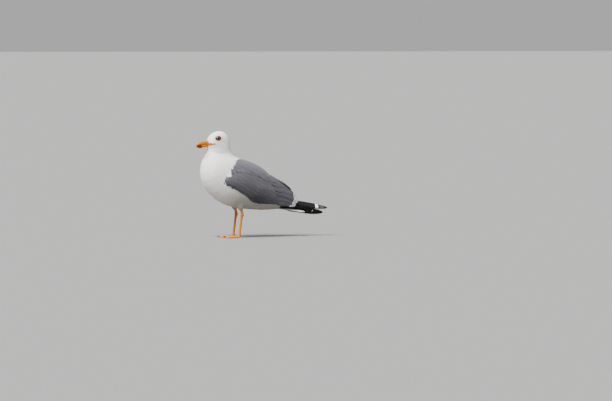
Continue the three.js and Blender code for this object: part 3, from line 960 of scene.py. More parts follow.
    def mark(self, shell: Mesh, surface: Surface, kinds: Array, lengths: Array) -> None:
        """Stores the lie of the coat, its markings, its unwrap and how long the feathers are.

        Args:
            shell: the hide's mesh.
            surface: the same mesh as arrays.
            kinds: the kind of node under each vertex.
            lengths: the feathers' length there, in millimetres.
        """
        points, normals = surface.points, surface.normals
        x, y, z = points.T
        wrist = (np.abs(y) > 34) & (np.abs(x + 69) < 14) & (np.abs(z - 220) < 14)
        wing, thigh = (kinds == "wing") | wrist, kinds == "thigh"
        low = smooth_step(looked_up(self.low_line, x) - z, -14, 16)
        angle = np.radians(mixed(looked_up(self.wing_fall, x), looked_up(self.low_fall, x), low))
        swept = np.column_stack([np.cos(angle), np.zeros(len(x)), -np.sin(angle)])
        lie = np.where(wing[:, None], swept, self.axis.lie(points))
        lie = np.where(thigh[:, None], unit(np.array(self.thigh_fall)), lie)
        for _ in range(3):
            lie = surface.blurred(self.flat(lie, normals), 8)
        front, beside = looked_up(self.grey_front, z), np.abs(y)
        front = np.where(beside < 30, np.minimum(front, looked_up(self.grey_back, beside)), front)
        front = np.where((beside < 30) & (z > 255), looked_up(self.grey_nape, beside), front)
        back = (z > 150) & (normals[:, 2] > 0.05) & (x < 182) & np.isin(kinds, ["trunk", "rump", "neck"])
        grey = surface.blurred(((wing | back) & (x > front)).astype(float), 1)
        lie = self.flat(lie, normals)
        covered = wing & (x > looked_up(self.coverts_end, z))  # the tertials lie here
        marks = {
            "lie": lie,
            "up": unit(surface.blurred(normals, 30)),
            "grey": smooth_step(grey, 0.35, 0.65),
            "unwrap": self.axis.unwrap(points),
            "grow": np.where(covered, 0.0, self.room(points, lie, kinds == "head", lengths)) * MM,
            "shade": self.shade(points, grey > 0.5),
            # painted shade on the lower body, deepest underneath
            "stain": smooth_step(-z, -205, -110),
            "tract": self.tracts(points, normals, np.where(wing, "wing", kinds), grey).astype(float),
        }
        for name, values in marks.items():
            store(shell, name, values)

    def flat(self, lie: Array, normals: Array) -> Array:
        """Directions laid flat on the skin."""
        return unit(lie - normals * (lie * normals).sum(axis=1)[:, None])

    def tracts(self, points: Array, normals: Array, kinds: Array, grey: Array) -> Array:
        """The number of the tract that each vertex belongs to."""
        x, y, z = points.T
        wing = (kinds == "wing") & (grey > 0.5)
        upper = wing & (x > -34) & (x < 112) & (z > looked_up(self.scapulars, x))
        rump, thigh = kinds == "rump", kinds == "thigh"
        rules = (
            ((x > 20) & (z < 160), Tract.BELLY), (rump, Tract.RUMP),
            (rump & (normals[:, 2] < 0), Tract.BELLY),
            (kinds == "neck", Tract.NECK), (kinds == "head", Tract.HEAD),
            (thigh & (y < 0), Tract.LEFT_THIGH), (thigh & (y > 0), Tract.RIGHT_THIGH),
            ((grey > 0.5) & (kinds != "wing"), Tract.MANTLE),
            (wing & (y < 0), Tract.LEFT_WING), (wing & (y > 0), Tract.RIGHT_WING),
            (upper & (y < 0), Tract.LEFT_SCAPULARS), (upper & (y > 0), Tract.RIGHT_SCAPULARS),
        )
        tract = np.full(len(x), Tract.BREAST.value)
        for here, kind in rules:  # a later rule goes over an earlier one
            tract[here] = kind.value
        return tract

    def shade(self, points: Array, grey: Array) -> Array:
        """Painted shade in the feathers' tone: the folded wing is darkest low in front and under the
        scapulars' edge.
        """
        x, _, z = points.T
        top, hem = looked_up(WING_TOP, x), looked_up(self.hem, x)
        level = looked_up(self.wing_tone, np.clip((top - z) / (top - looked_up(WING_LOW, x)), 0, 1))
        # painted shadow, pooled low on the front of the folded wing
        shadow_pool = smooth_step(-z, -182, -150) * np.exp(-(((x - 36) / 44) ** 2))
        # the painted shadow line under the scapulars' edge
        line = smooth_step(z - hem, -11, -3) * smooth_step(hem - z, -2, 2)
        across = z + 0.52 * x  # rows of coverts run along the wing, each with a paler hem and a dark foot, painted shade under the row above
        rows = 0.08 * np.sin(across / 2.4 + 0.7 * np.sin(x / 23))
        rows = rows + 0.05 * np.sin(across / 1.3 + 0.9 * np.sin(x / 31))
        # painted shade on the white plumage low on the body, behind the neck
        pale = 1 - (1 - looked_up(self.under_tone, z)) * smooth_step(x, -80, -20)
        for at_x, at_z, long, high, depth in self.shadows:
            pale = pale * (1 - depth * np.exp(-(((x - at_x) / long) ** 2) - ((z - at_z) / high) ** 2))
        return np.where(grey, (level + rows) * (1 - 0.5 * shadow_pool) * (1 - 0.45 * line), pale)

    def lengths(self, points: Array, kinds: Array) -> Array:
        """How long the feathers are, in millimetres."""
        x, _, z = points.T
        wing, thigh = kinds == "wing", kinds == "thigh"
        length = looked_up(self.body_length, self.axis.share[self.axis.nearest(points)])
        length[wing] = looked_up(self.wing_length, x[wing])
        length[thigh] = looked_up(self.thigh_length, z[thigh])
        return length

    def room(self, points: Array, lie: Array, head: Array, lengths: Array) -> Array:
        """The feathers' lengths, cut short where they would cover the eye or the corner of the mouth."""
        x, y, z = points.T
        grow = lengths.copy()
        towards = (np.array(self.eye) - self.mirrored(points)) * (1, 1, self.ring_flat)
        lie = lie * np.column_stack([np.ones(len(y)), np.sign(y + 1e-6), np.ones(len(y))])
        ahead = (towards * lie).sum(axis=1)
        aside = np.linalg.norm(towards - lie * ahead[:, None], axis=1)
        room = ahead - np.sqrt(np.maximum(self.ring_radius**2 - aside**2, 0))
        near = head & (ahead > 0) & (aside < self.ring_radius) & (room < 12)
        grow[near] = np.minimum(grow[near], np.maximum(room[near], 0))
        grow[head & (np.linalg.norm(towards * (1, 0, 1), axis=1) < self.ring_radius - 0.6)] = 0
        grow[head & (np.abs(z - self.mouth_height) < looked_up(self.mouth, x))] = 0
        return grow


# ---- The coat ----


@dataclass(frozen=True)
class Vane:
    """The shape that one tract repeats: a closed, cambered blade one unit long and one unit wide."""

    rows: int = 7
    columns: int = 4
    widest: float = 0.55
    root_width: float = 0.35
    bluntness: float = 0.6
    crowding: float = 1.6  # how much closer the rows stand towards the tip

    def mesh(self) -> Mesh:
        """Builds the blade: its camber is added once it lies on the skin.

        Returns:
            A mesh with the numbers "along" and "side" on its vertices, and a sharp edge all round.
        """
        row, column = np.divmod(np.arange(self.rows * self.columns), self.columns)
        along = 1 - (1 - row / (self.rows - 1)) ** self.crowding
        side = 2 * column / (self.columns - 1) - 1
        past = np.clip((along - self.widest) / (1 - self.widest), 0, 1)
        rise = smooth_step(along, 0, self.widest)
        root, tip = mixed(self.root_width, 1.0, rise), (1 - past**2.4) ** self.bluntness
        width = np.maximum(np.where(along < self.widest, root, tip), 0.14)
        x = along - 0.09 * side**2 * past
        points = np.column_stack([x, side * width / 2, np.zeros(len(x))])
        mesh = bpy.data.meshes.new("vane")
        mesh.from_pydata(points.tolist(), [], self.faces())
        mesh.update()
        store(mesh, "along", along)
        store(mesh, "side", side)
        mesh.attributes.new("sharp_edge", "BOOLEAN", "EDGE").data.foreach_set("value", self.on_rim(mesh))
        return mesh

    def faces(self) -> list[list[int]]:
        """The upper faces, the underside from edge to edge, and the two ends."""
        wide, last = self.columns, (self.rows - 1) * self.columns
        upper = flipped(net_faces(self.rows, wide, closed=False))
        under = [[a, a + wide - 1, a + 2 * wide - 1, a + wide] for a in range(0, last, wide)]
        return upper + under + [list(range(wide)), [last + i for i in reversed(range(wide))]]

    def on_rim(self, mesh: Mesh) -> Array:
        """Whether each edge of the blade runs along its outline."""
        ends = read(mesh.edges, "vertices", 2, int)
        (row_a, a), (row_b, b) = (np.divmod(end, self.columns) for end in ends.T)
        lengthwise = (a == b) & np.isin(a, (0, self.columns - 1))
        return lengthwise | ((row_a == row_b) & np.isin(row_a, (0, self.rows - 1)) & (abs(a - b) == 1))


@dataclass
class PlumageTree(Wiring):
    """A Geometry Nodes tree that grows one tract: roots, blades, their lie on the skin and their bake map."""

    tree: NodeTree = field(default_factory=lambda: bpy.data.node_groups.new("plumage", "GeometryNodeTree"))
    patch: float = 0.003  # how much of the bake map one feather takes
    crowd: float = 2.2  # how many roots are tried for each square of the spacing
    stack: float = 0.08  # how far feathers may lie over one another, in millimetres
    shortest: float = 1.6  # shorter ones don't grow

    FLOATS = ("Spacing", "Longer", "Slim", "Lift", "Rise", "Camber", "Turn", "Uneven", "Vivid")
    INPUTS = (
        ("Geometry", "Geometry"), ("Skin", "Object"), ("Vane", "Object"),
        *((name, "Float") for name in FLOATS), ("Seed", "Int"), ("Material", "Material"),
    )

    def __post_init__(self) -> None:
        """Builds the tree."""
        face = self.tree.interface
        self.keys = {
            name: face.new_socket(name, in_out="INPUT", socket_type=f"NodeSocket{kind}").identifier
            for name, kind in self.INPUTS
        }
        face.new_socket("Geometry", in_out="OUTPUT", socket_type="NodeSocketGeometry")
        self.put("NodeGroupOutput", {"Geometry": self.finished(self.laid(self.planted()))})

    def given(self, name: str) -> Wire:
        """One of the tree's own inputs."""
        return self.put("NodeGroupInput", output=name)

    def named(self, name: str, kind: str = "FLOAT") -> Wire:
        """A value that the geometry carries."""
        return self.put("GeometryNodeInputNamedAttribute", {"Name": name}, "Attribute", data_type=kind)

    def random(self, low: object, high: object, salt: int) -> Wire:
        """A number between two others, the same on every run."""
        inputs = {"Min": low, "Max": high, "Seed": self.given("Seed") + salt}
        return self.put("FunctionNodeRandomValue", inputs, data_type="FLOAT")

    def around(self, middle: float, reach: str, salt: int) -> Wire:
        """A random number that is at most one of the tree's inputs off a middle value."""
        return self.random(middle - self.given(reach), self.given(reach) + middle, salt)

    def kept(self, geometry: Wire, name: str, value: Wire, kind: str = "FLOAT", domain: str = "POINT") -> Wire:
        """The geometry with a value stored on it."""
        inputs = {"Geometry": geometry, "Name": name, "Value": value}
        return self.put("GeometryNodeStoreNamedAttribute", inputs, data_type=kind, domain=domain)

    def planted(self) -> Wire:
        """Roots spread evenly over the tract, each with a blade that points along the lie."""
        spacing, grow = self.given("Spacing"), self.named("grow")
        density = self.math("DIVIDE", self.crowd, spacing * spacing)
        roots = {"Mesh": self.given("Geometry"), "Distance Min": spacing, "Density Max": density}
        roots["Seed"] = self.given("Seed")
        points = self.put("GeometryNodeDistributePointsOnFaces", roots, "Points", distribute_method="POISSON")
        points = self.kept(points, "tone", self.around(1.0, "Vivid", 3))
        points = self.kept(points, "stack", self.random(0.0, self.stack * MM, 5))
        up, lie = self.named("up", VECTOR), self.named("lie", VECTOR)
        axes = {"Primary Axis": up, "Secondary Axis": lie}
        lying = self.put("FunctionNodeAxesToRotation", axes, primary_axis="Z", secondary_axis="X")
        turn = {"Axis": (0, 0, 1), "Angle": self.around(0.0, "Turn", 7)}
        spin = self.put("FunctionNodeAxisAngleToRotation", turn)
        size = grow * (self.around(1.0, "Uneven", 11) * self.given("Longer"))
        placing = {
            "Points": points,
            "Selection": self.math("GREATER_THAN", grow, self.shortest * MM),
            "Instance": self.put("GeometryNodeObjectInfo", {"Object": self.given("Vane")}, "Geometry"),
            "Rotation": self.put("FunctionNodeRotateRotation", {0: lying, 1: spin}, rotation_space="LOCAL"),
            "Scale": self.put("ShaderNodeCombineXYZ", {0: size, 1: size * self.given("Slim"), 2: 1.0}),
        }
        return self.put("GeometryNodeRealizeInstances", {0: self.put("GeometryNodeInstanceOnPoints", placing)})

    def laid(self, blades: Wire) -> Wire:
        """Every blade bent to the skin: flat at its root, rising over the next ones, arched across."""
        place = self.put("GeometryNodeInputPosition")
        skin = self.put("GeometryNodeObjectInfo", {"Object": self.given("Skin")}, "Geometry")
        inputs = {0: skin, "Sample Position": place}
        nearest = self.put("GeometryNodeProximity", inputs, "Position", target_element="FACES")
        inputs = {"Mesh": skin, "Value": self.named("up", VECTOR), "Sample Position": place}
        normal = self.put("GeometryNodeSampleNearestSurface", inputs, data_type=VECTOR)
        blades = self.kept(blades, "body", normal, VECTOR)
        side = self.named("side")
        rise = self.math("POWER", self.named("along"), 0.8) * self.given("Rise")
        arch = (1.0 - side * side) * self.given("Camber")
        height = (rise + arch) * self.named("grow") + (self.given("Lift") + self.named("stack"))
        outwards = self.vector("SCALE", self.named("body", VECTOR), height)
        inputs = {"Geometry": blades, "Position": self.vector("ADD", nearest, outwards)}
        return self.put("GeometryNodeSetPosition", inputs)

    def finished(self, blades: Wire) -> Wire:
        """The blades with their bake map and their material."""
        spread = {0: self.named("side") * (self.patch / 2), 1: (self.named("along") - 0.5) * self.patch}
        place = self.vector("ADD", self.named("bake", VECTOR), self.put("ShaderNodeCombineXYZ", spread))
        mapped = self.kept(blades, BAKE_MAP, place, "FLOAT2", "CORNER")
        return self.put("GeometryNodeSetMaterial", {"Geometry": mapped, "Material": self.given("Material")})


@dataclass(frozen=True)
class Tuft:
    """How one tract's feathers grow: distances in millimetres, angles in degrees, the rest as shares."""

    spacing: float
    longer: float  # their length beside the skin's own measure
    slim: float  # their width beside their length
    lift: float
    rise: float  # how high the tip stands, as a share of the length
    camber: float
    turn: float
    uneven: float
    vivid: float  # how much the feathers differ in tone
    vane: Vane


FINE = Vane(rows=4, columns=3, widest=0.5, root_width=0.5)
SOFT = Vane(rows=6, columns=3, widest=0.6, bluntness=0.5)
BROAD = Vane(rows=8, columns=5, widest=0.6, bluntness=0.5)


@dataclass
class Coat:
    """The contour feathers, tract by tract."""

    skin: Object
    tufts: dict[str, Tuft] = field(
        default_factory=lambda: {
            "HEAD": Tuft(1.4, 1.25, 0.42, 0.3, 0.02, 0.03, 4, 0.15, 0.03, FINE),
            "NECK": Tuft(2.3, 1.2, 0.38, 0.3, 0.015, 0.03, 4, 0.18, 0.03, SOFT),
            "BREAST": Tuft(2.4, 1.2, 0.36, 0.3, 0.015, 0.03, 4, 0.18, 0.03, SOFT),
            "BELLY": Tuft(2.8, 1.15, 0.36, 0.3, 0.015, 0.03, 5, 0.18, 0.03, SOFT),
            "MANTLE": Tuft(3.8, 1.15, 0.44, 0.3, 0.009, 0.012, 4, 0.12, 0.04, BROAD),
            "RUMP": Tuft(3.8, 1.0, 0.36, 0.4, 0.05, 0.02, 5, 0.15, 0.03, BROAD),
            "THIGH": Tuft(1.7, 1.0, 0.26, 0.3, 0.05, 0.015, 8, 0.2, 0.03, FINE),
            "WING": Tuft(4.6, 1.3, 0.44, 0.3, 0.009, 0.012, 3, 0.1, 0.06, BROAD),
            "SCAPULARS": Tuft(5.2, 1.5, 0.38, 0.6, 0.025, 0.015, 3, 0.1, 0.06, BROAD),
        }
    )
    seed: int = 11
    margin: float = 0.01  # how much of the bake map stays free at its edges

    def build(self) -> None:
        """Grows every tract and dresses it."""
        tree = PlumageTree()
        material = Plumage("contour feather").material()
        for tract in Tract:
            patch = self.patch(tract)
            if not len(patch.polygons):
                continue
            tuft = self.tufts[tract.name.split("_")[-1]]
            mesh = self.grown(patch, tuft, tree, material, self.seed + tract.value)
            slot = Slot.GREY if tract in GREY_TRACTS else Slot.BODY
            dress(f"{tract.name.lower()}_feathers", mesh, material, slot)

    def patch(self, tract: Tract) -> Mesh:
        """The tract's own faces of the skin, with its unwrap spread over the whole bake map."""
        work = bmesh.new()
        work.from_mesh(self.skin.data)
        layer = work.verts.layers.float["tract"]
        strangers = []
        for face in work.faces:
            share = sum(vertex[layer] == tract.value for vertex in face.verts) / len(face.verts)
            if round(share) < 1:
                strangers.append(face)
        bmesh.ops.delete(work, geom=strangers, context="FACES")
        mesh = written(work)
        unwrap = read(mesh.attributes["unwrap"].data, "vector", 3)
        if len(unwrap):
            low, high = unwrap.min(axis=0), unwrap.max(axis=0)
            spread = (unwrap - low) / np.maximum(high - low, 1e-6)
            store(mesh, "bake", self.margin + (1 - 2 * self.margin) * spread)
        return mesh

    def grown(
        self, patch: Mesh, tuft: Tuft, tree: PlumageTree, material: Material, seed: int
    ) -> Mesh:
        """Grows one tract's feathers into a plain mesh.

        Args:
            patch: the skin that carries the roots.
            tuft: how the feathers grow.
            tree: the Geometry Nodes tree.
            material: the feathers' finish.
            seed: the seed of everything random.

        Returns:
            The feathers' mesh.
        """
        roots, vane = shown("roots", patch), shown("vane", tuft.vane.mesh())
        grow = roots.modifiers.new("plumage", "NODES")
        grow.node_group = tree.tree
        values = {
            "Skin": self.skin, "Vane": vane, "Seed": seed, "Material": material, "Spacing": tuft.spacing * MM,
            "Longer": tuft.longer, "Slim": tuft.slim, "Lift": tuft.lift * MM, "Rise": tuft.rise,
            "Camber": tuft.camber, "Turn": math.radians(tuft.turn), "Uneven": tuft.uneven, "Vivid": tuft.vivid,
        }
        for key, value in values.items():
            grow[tree.keys[key]] = value
        mesh = evaluated(roots)
        mesh.shade_smooth()
        discard(roots, vane)
        return mesh


# ---- Flight feathers ----


NO_MARK = -100.0  # a mark this far beyond the tip doesn't show
ALL_WHITE = 500.0  # a white tip longer than any feather


@dataclass(frozen=True)
class Quill:
    """One long feather: a shaft between two points, and a blade on both sides of it."""

    root: Triple
    tip: Triple
    up: Triple  # which way its upper face looks
    width: float
    bow: float = 3.0  # how far its middle stands above a straight line
    leading: float = 0.42  # the leading vane's share of the width
    leading_hand: float = 1.0  # the side of the leading vane, as the sign of the blade's own "side"
    tip_share: float = 0.2  # the length over which it narrows
    sharpness: float = 2.2
    thickness: float = 0.7
    camber: float = 0.16
    white_tip: float = 0.0
    mirror: float = NO_MARK  # how far from the tip the white mirror is
    faded: float = NO_MARK
    tone: float = 1.0
    sink: float = 0.0  # how far its root is sunk

    def grid(self, along: Array, side: Array) -> tuple[Array, Array]:
        """Points of the upper face.

        Args:
            along: 0 at the root and 1 at the tip.
            side: -1 at one edge and 1 at the other.

        Returns:
            The points, and the direction that the face looks in at each.
        """
        root, tip = np.array(self.root), np.array(self.tip)
        reach = unit(tip - root)
        upward = np.array(self.up)
        upward = unit(upward - reach * (upward @ reach))
        sideways = np.cross(upward, reach)
        lift = self.bow * 4 * along * (1 - along) - self.sink * (1 - smooth_step(along, 0.05, 0.6))
        past = np.clip((along - (1 - self.tip_share)) / self.tip_share, 0, 1)
        taper = np.sqrt(np.maximum(1 - past**self.sharpness, 0.0025))
        half = self.width * mixed(0.3, 1.0, smooth_step(along, 0, 0.3)) * taper
        leads = side * self.leading_hand > 0
        reach_out = side * half * np.where(leads, self.leading, 1 - self.leading)
        arch = self.camber * half * 0.5 * (1 - side**2)
        centre = root + (tip - root) * along[:, None]
        points = centre + sideways * reach_out[:, None] + upward * (lift + arch)[:, None]
        return points, np.broadcast_to(upward, points.shape)


@dataclass
class QuillSet:
    """Several long feathers as one closed mesh, each with its own strip of the bake map."""

    quills: list[Quill]
    rows: int = 30
    columns: int = 9
    drape: Callable[[Array], Array] | None = None  # lays flat feathers on a surface

    MARKS = ("white_tip", "mirror", "faded", "tone")

    def mesh(self, name: str) -> Mesh:
        """Builds the feathers.

        Args:
            name: the mesh's name.

        Returns:
            The mesh, with what the flight feather finish reads.
        """
        row, column = np.divmod(np.arange(self.rows * self.columns), self.columns)
        along, side = row / (self.rows - 1), 2 * column / (self.columns - 1) - 1
        inner = (row > 0) & (row < self.rows - 1) & (column > 0) & (column < self.columns - 1)
        every = np.concatenate([np.arange(len(row)), np.flatnonzero(inner)])
        below = np.arange(len(row))
        below[inner] = len(row) + np.arange(inner.sum())
        quads = flipped(net_faces(self.rows, self.columns, closed=False))
        points, faces, corners = [], [], []
        values: dict[str, list[Array]] = {key: [] for key in ("side", "from_tip", *self.MARKS)}
        for number, quill in enumerate(self.quills):
            start = number * len(every)
            upper, upward = quill.grid(along, side)
            upper = self.drape(upper) if self.drape else upper
            points += [upper, upper[inner] - upward[inner] * quill.thickness]
            values["side"].append(side[every])
            values["from_tip"].append((1 - along[every]) * np.linalg.norm(np.subtract(quill.tip, quill.root)))
            for key in self.MARKS:
                values[key].append(np.full(len(every), getattr(quill, key)))
            for quad in quads:
                faces += [[start + i for i in quad], [start + below[i] for i in reversed(quad)]]
                corners += [(number, along[i], side[i]) for i in quad]
                corners += [(number + 0.5, along[i], side[i]) for i in reversed(quad)]
        joined = {key: np.concatenate(parts) for key, parts in values.items()}
        mesh = mesh_of(name, np.vstack(points), faces, **joined)
        strip, place, off = np.array(corners).T
        across = (strip + 0.02 + 0.23 * (off + 1)) / len(self.quills)
        places = np.column_stack([across, 0.01 + 0.98 * place]).astype(np.float32)
        mesh.uv_layers.new(name=BAKE_MAP).data.foreach_set("uv", places.ravel())
        return outwards(mesh)


@dataclass
class WingTip:
    """The outer primaries of a folded wing: black, with a white mirror on the longest and small white tips."""

    side: Side
    lay: dict[Side, tuple] = field(
        default_factory=lambda: {
            Side.LEFT: ((158, -20, 107), (341, 13, 82), 55),
            Side.RIGHT: ((158, 18, 128), (346, -13, 100), 45),
        }
    )
    shorter: tuple[float, ...] = (0, 14, 42, 70)
    marks: dict[Side, tuple[float, float]] = field(  # how far the mirror and the faded web are from the tip
        default_factory=lambda: {Side.LEFT: (NO_MARK, NO_MARK), Side.RIGHT: (41.0, 22.0)}
    )
    marked: int = 2  # how many of the longest feathers carry these marks
    white_tips: tuple[float, ...] = (0.0, 2.5, 5.0, 6.0)
    width: float = 27
    step: float = 1.2  # how far each lies above the last, and how much narrower it is

    def build(self) -> None:
        """Makes the feathers and dresses them."""
        root, tip, roll = self.lay[self.side]
        hand = self.side.value
        root, tip = np.array(root), np.array(tip)
        reach = unit(tip - root)
        longest = np.linalg.norm(tip - root)
        upward = np.array([0, -hand * math.sin(math.radians(roll)), math.cos(math.radians(roll))])
        quills = []
        for i, shorter in enumerate(self.shorter):
            start = root + upward * self.step * i
            end = start + reach * (longest - shorter)
            mirror, faded = (mark - shorter if i < self.marked else NO_MARK for mark in self.marks[self.side])
            quills.append(
                Quill(
                    tuple(start), tuple(end), tuple(upward), self.width - self.step * i, bow=2.0, leading=0.4,
                    leading_hand=hand, tip_share=0.34, sharpness=1.7, white_tip=self.white_tips[i],
                    mirror=mirror, faded=faded,
                )
            )
        word, mesh = self.side.word, QuillSet(quills).mesh("wing_tip")
        black = FlightFeather("black flight feather").material()
        dress(f"{word}_wing_tip", mesh, black, Slot.BLACK, f"{word}_primaries")


@dataclass
class Tail:
    """The closed tail: white feathers in a narrow fan, the middle pair on top."""

    pairs: int = 6
    length: float = 114
    width: float = 26
    shorter: float = 0.42  # how much the outer feathers fall short, in steps squared
    droop: float = 8.5
    root: Triple = (150, 1, 104)

    def build(self) -> None:
        """Makes the feathers and dresses them."""
        quills = []
        for i in reversed(range(self.pairs)):
            for side in Side:
                hand = side.value
                spread, fall = math.radians(0.6 + i * 1.0), math.radians(self.droop)
                start = np.array([self.root[0], hand * (self.root[1] + i * 1.0), self.root[2] - i * 0.8])
                ahead = math.cos(spread) * math.cos(fall)
                reach = np.array([ahead, hand * math.sin(spread), -math.sin(fall)])
                end = start + reach * (self.length - self.shorter * i * i)
                # tone 0.76 is painted shade: the white tail greyed as if shaded under the wing tips
                quills.append(
                    Quill(
                        tuple(start), tuple(end), (0, hand * 0.06, 1), self.width, bow=1.0, leading=0.5,
                        leading_hand=hand, tip_share=0.2, sharpness=2.0, tone=0.76, white_tip=ALL_WHITE,
                    )
                )
        finish = FlightFeather("white tail feather", pale="#dedcd9", roughness=0.7)
        dress("tail_feathers", QuillSet(quills).mesh("tail_feathers"), finish.material(), Slot.TAIL, "tail")


def grey_vane(name: str, edge: str, worn: float) -> Material:
    """The finish of a grey feather of the wing, with its worn edge's colour and share."""
    finish = FlightFeather(name, main="#535258", pale="#c9c8cc", edge=edge, edge_share=worn, roughness=0.8)
    return finish.material()


@dataclass
class Tertials:
    """The long grey feathers that close the back of the folded wing, with white ends."""

    side: Side
    roots: Pairs = ((76, 226), (78, 212), (84, 194), (96, 172), (108, 152), (122, 134))
    tips: Pairs = ((189, 184), (208, 166), (222, 146), (230, 124), (221, 112), (204, 108))
    white_tips: tuple[float, ...] = (1.5, 2.5, 11.0, 21.0, 19.0, 12.0)
    sink: float = 6.5  # how deep the roots lie under the coverts
    width: float = 25
    steps: tuple[float, ...] = (2.6, 2.1, 1.6, 1.1, 0.6, 0.1)  # how high each lies: the innermost is on top
    tones: tuple[float, ...] = (0.98, 0.84, 0.94, 0.82, 0.92, 1.1)

    def build(self) -> None:
        """Makes the feathers and dresses them."""
        hand = self.side.value
        wing = tree_of(f"{self.side.word}_wing")
        quills = [
            Quill(
                (root[0], 0, root[1]), (tip[0], 0, tip[1]), (0, hand, 0), self.width, bow=0, leading=0.46,
                tip_share=0.16, white_tip=white, tone=tone, sink=self.sink,
            )
            for root, tip, white, tone in zip(self.roots, self.tips, self.white_tips, self.tones)
        ]
        heights = iter(reversed(self.steps))

        def drape(points: Array) -> Array:
            """Lays a flat feather on the side of the wing."""
            return self.on_wing(wing, points, next(heights))

        mesh = QuillSet(quills[::-1], drape=drape).mesh("tertials")
        dress(f"{self.side.word}_tertials", mesh, grey_vane("grey tertial", "#98979c", 0.75), Slot.GREY)

    def on_wing(self, wing: BVHTree, points: Array, step: float) -> Array:
        """Moves points along Y on to the wing's outer face, and inside its outline."""
        hand = self.side.value
        landed = points.copy()
        low, top = looked_up(WING_LOW, points[:, 0]), looked_up(WING_TOP, points[:, 0])
        landed[:, 2] = np.clip(points[:, 2], low + 0.8, top - 0.8)
        for i, (x, y, _) in enumerate(points):
            start = Vector(in_frame(np.array([x, hand * 150.0, landed[i, 2]])))
            hit = wing.ray_cast(start, Vector((0, -hand, 0)))[0]
            if hit is None:
                hit = wing.find_nearest(Vector(in_frame(np.array([x, hand * 30.0, landed[i, 2]]))))[0]
            landed[i, 1] = hit.y / MM + y + hand * step
        return landed


@dataclass
class Saddle:
    """The innermost feathers of both wings, which lie flat over the rump and close the gap between them."""

    lay: tuple[tuple[float, float, float, float], ...] = (  # root x, tip x, y of the root and of the tip
        (88, 203, -11, -9), (92, 205, 11, 9), (104, 190, -4, -3), (98, 176, 3, 2),
    )
    width: float = 25
    sink: float = 13.0
    step: float = 0.6  # how far each lies above the last
    # painted shade: darker than the mantle's grey, so that their flat, upward-facing tops look no lighter
    tones: tuple[float, float] = (0.76, 0.82)
    below: float = 2.8  # how far they stay below the wings' upper edge
    fall: float = 0.012  # how they fall away to both sides, per millimetre squared

    def build(self) -> None:
        """Makes the feathers and dresses them."""
        quills = [
            Quill(
                (root, y, self.step * i), (tip, tip_y, self.step * i), (0, 0, 1), self.width, bow=0,
                leading=0.5, tip_share=0.18, tone=self.tones[i % 2], sink=self.sink,
            )
            for i, (root, tip, y, tip_y) in enumerate(self.lay)
        ]
        mesh = QuillSet(quills, drape=self.drape).mesh("saddle")
        dress("saddle_feathers", mesh, grey_vane("grey inner tertial", "#7d7c82", 0.4), Slot.GREY)

    def drape(self, points: Array) -> Array:
        """Lays a flat feather along the wings' upper edge."""
        landed = points.copy()
        landed[:, 2] += looked_up(WING_TOP, points[:, 0]) - self.below - self.fall * points[:, 1] ** 2
        return landed


# ---- Bare parts ----


@dataclass(frozen=True)
class Ring:
    """A ring across the middle plane: its top and low points as (x, z), and half its width."""

    top: tuple[float, float]
    low: tuple[float, float]
    side: float


@dataclass
class Loft:
    """A closed skin through rings."""

    rings: tuple[Ring, ...]
    fullness: float = 2.0
    widest: float = 0.5
    columns: int = 36
    rows: int = 60

    def grid(self, y: float = 0.0) -> tuple[Array, Array]:
        """Points of the skin, and the angle of each.

        Args:
            y: how far the loft stands beside the middle plane.

        Returns:
            The points and the angles. The last two points close the ends.
        """
        shares = np.append(np.repeat(np.linspace(0, 1, self.rows), self.columns), [0, 1])
        angles = np.append(np.tile(np.arange(self.columns) / self.columns * math.tau, self.rows), [0, 0])
        read = catmull_rom(np.array([[*ring.top, *ring.low, ring.side] for ring in self.rings]), shares)
        top, low, side = read[:, 0:2], read[:, 2:4], read[:, 4]
        middle = mixed(top, low, self.widest)
        up, across = (np.sign(v) * np.abs(v) ** (2 / self.fullness) for v in (np.cos(angles), np.sin(angles)))
        up[-2:], across[-2:] = 0, 0
        reach = np.where(up > 0, np.linalg.norm(top - middle, axis=1), np.linalg.norm(low - middle, axis=1))
        flat = middle + unit(top - low) * (up * reach)[:, None]
        return np.column_stack([flat[:, 0], y + across * side, flat[:, 1]]), angles

    def mesh(self, name: str, points: Array, **values: Array) -> Mesh:
        """The closed skin over such points, with numbers on its vertices."""
        return outwards(mesh_of(name, points, tube_faces(self.rows, self.columns, pointed=True), **values))


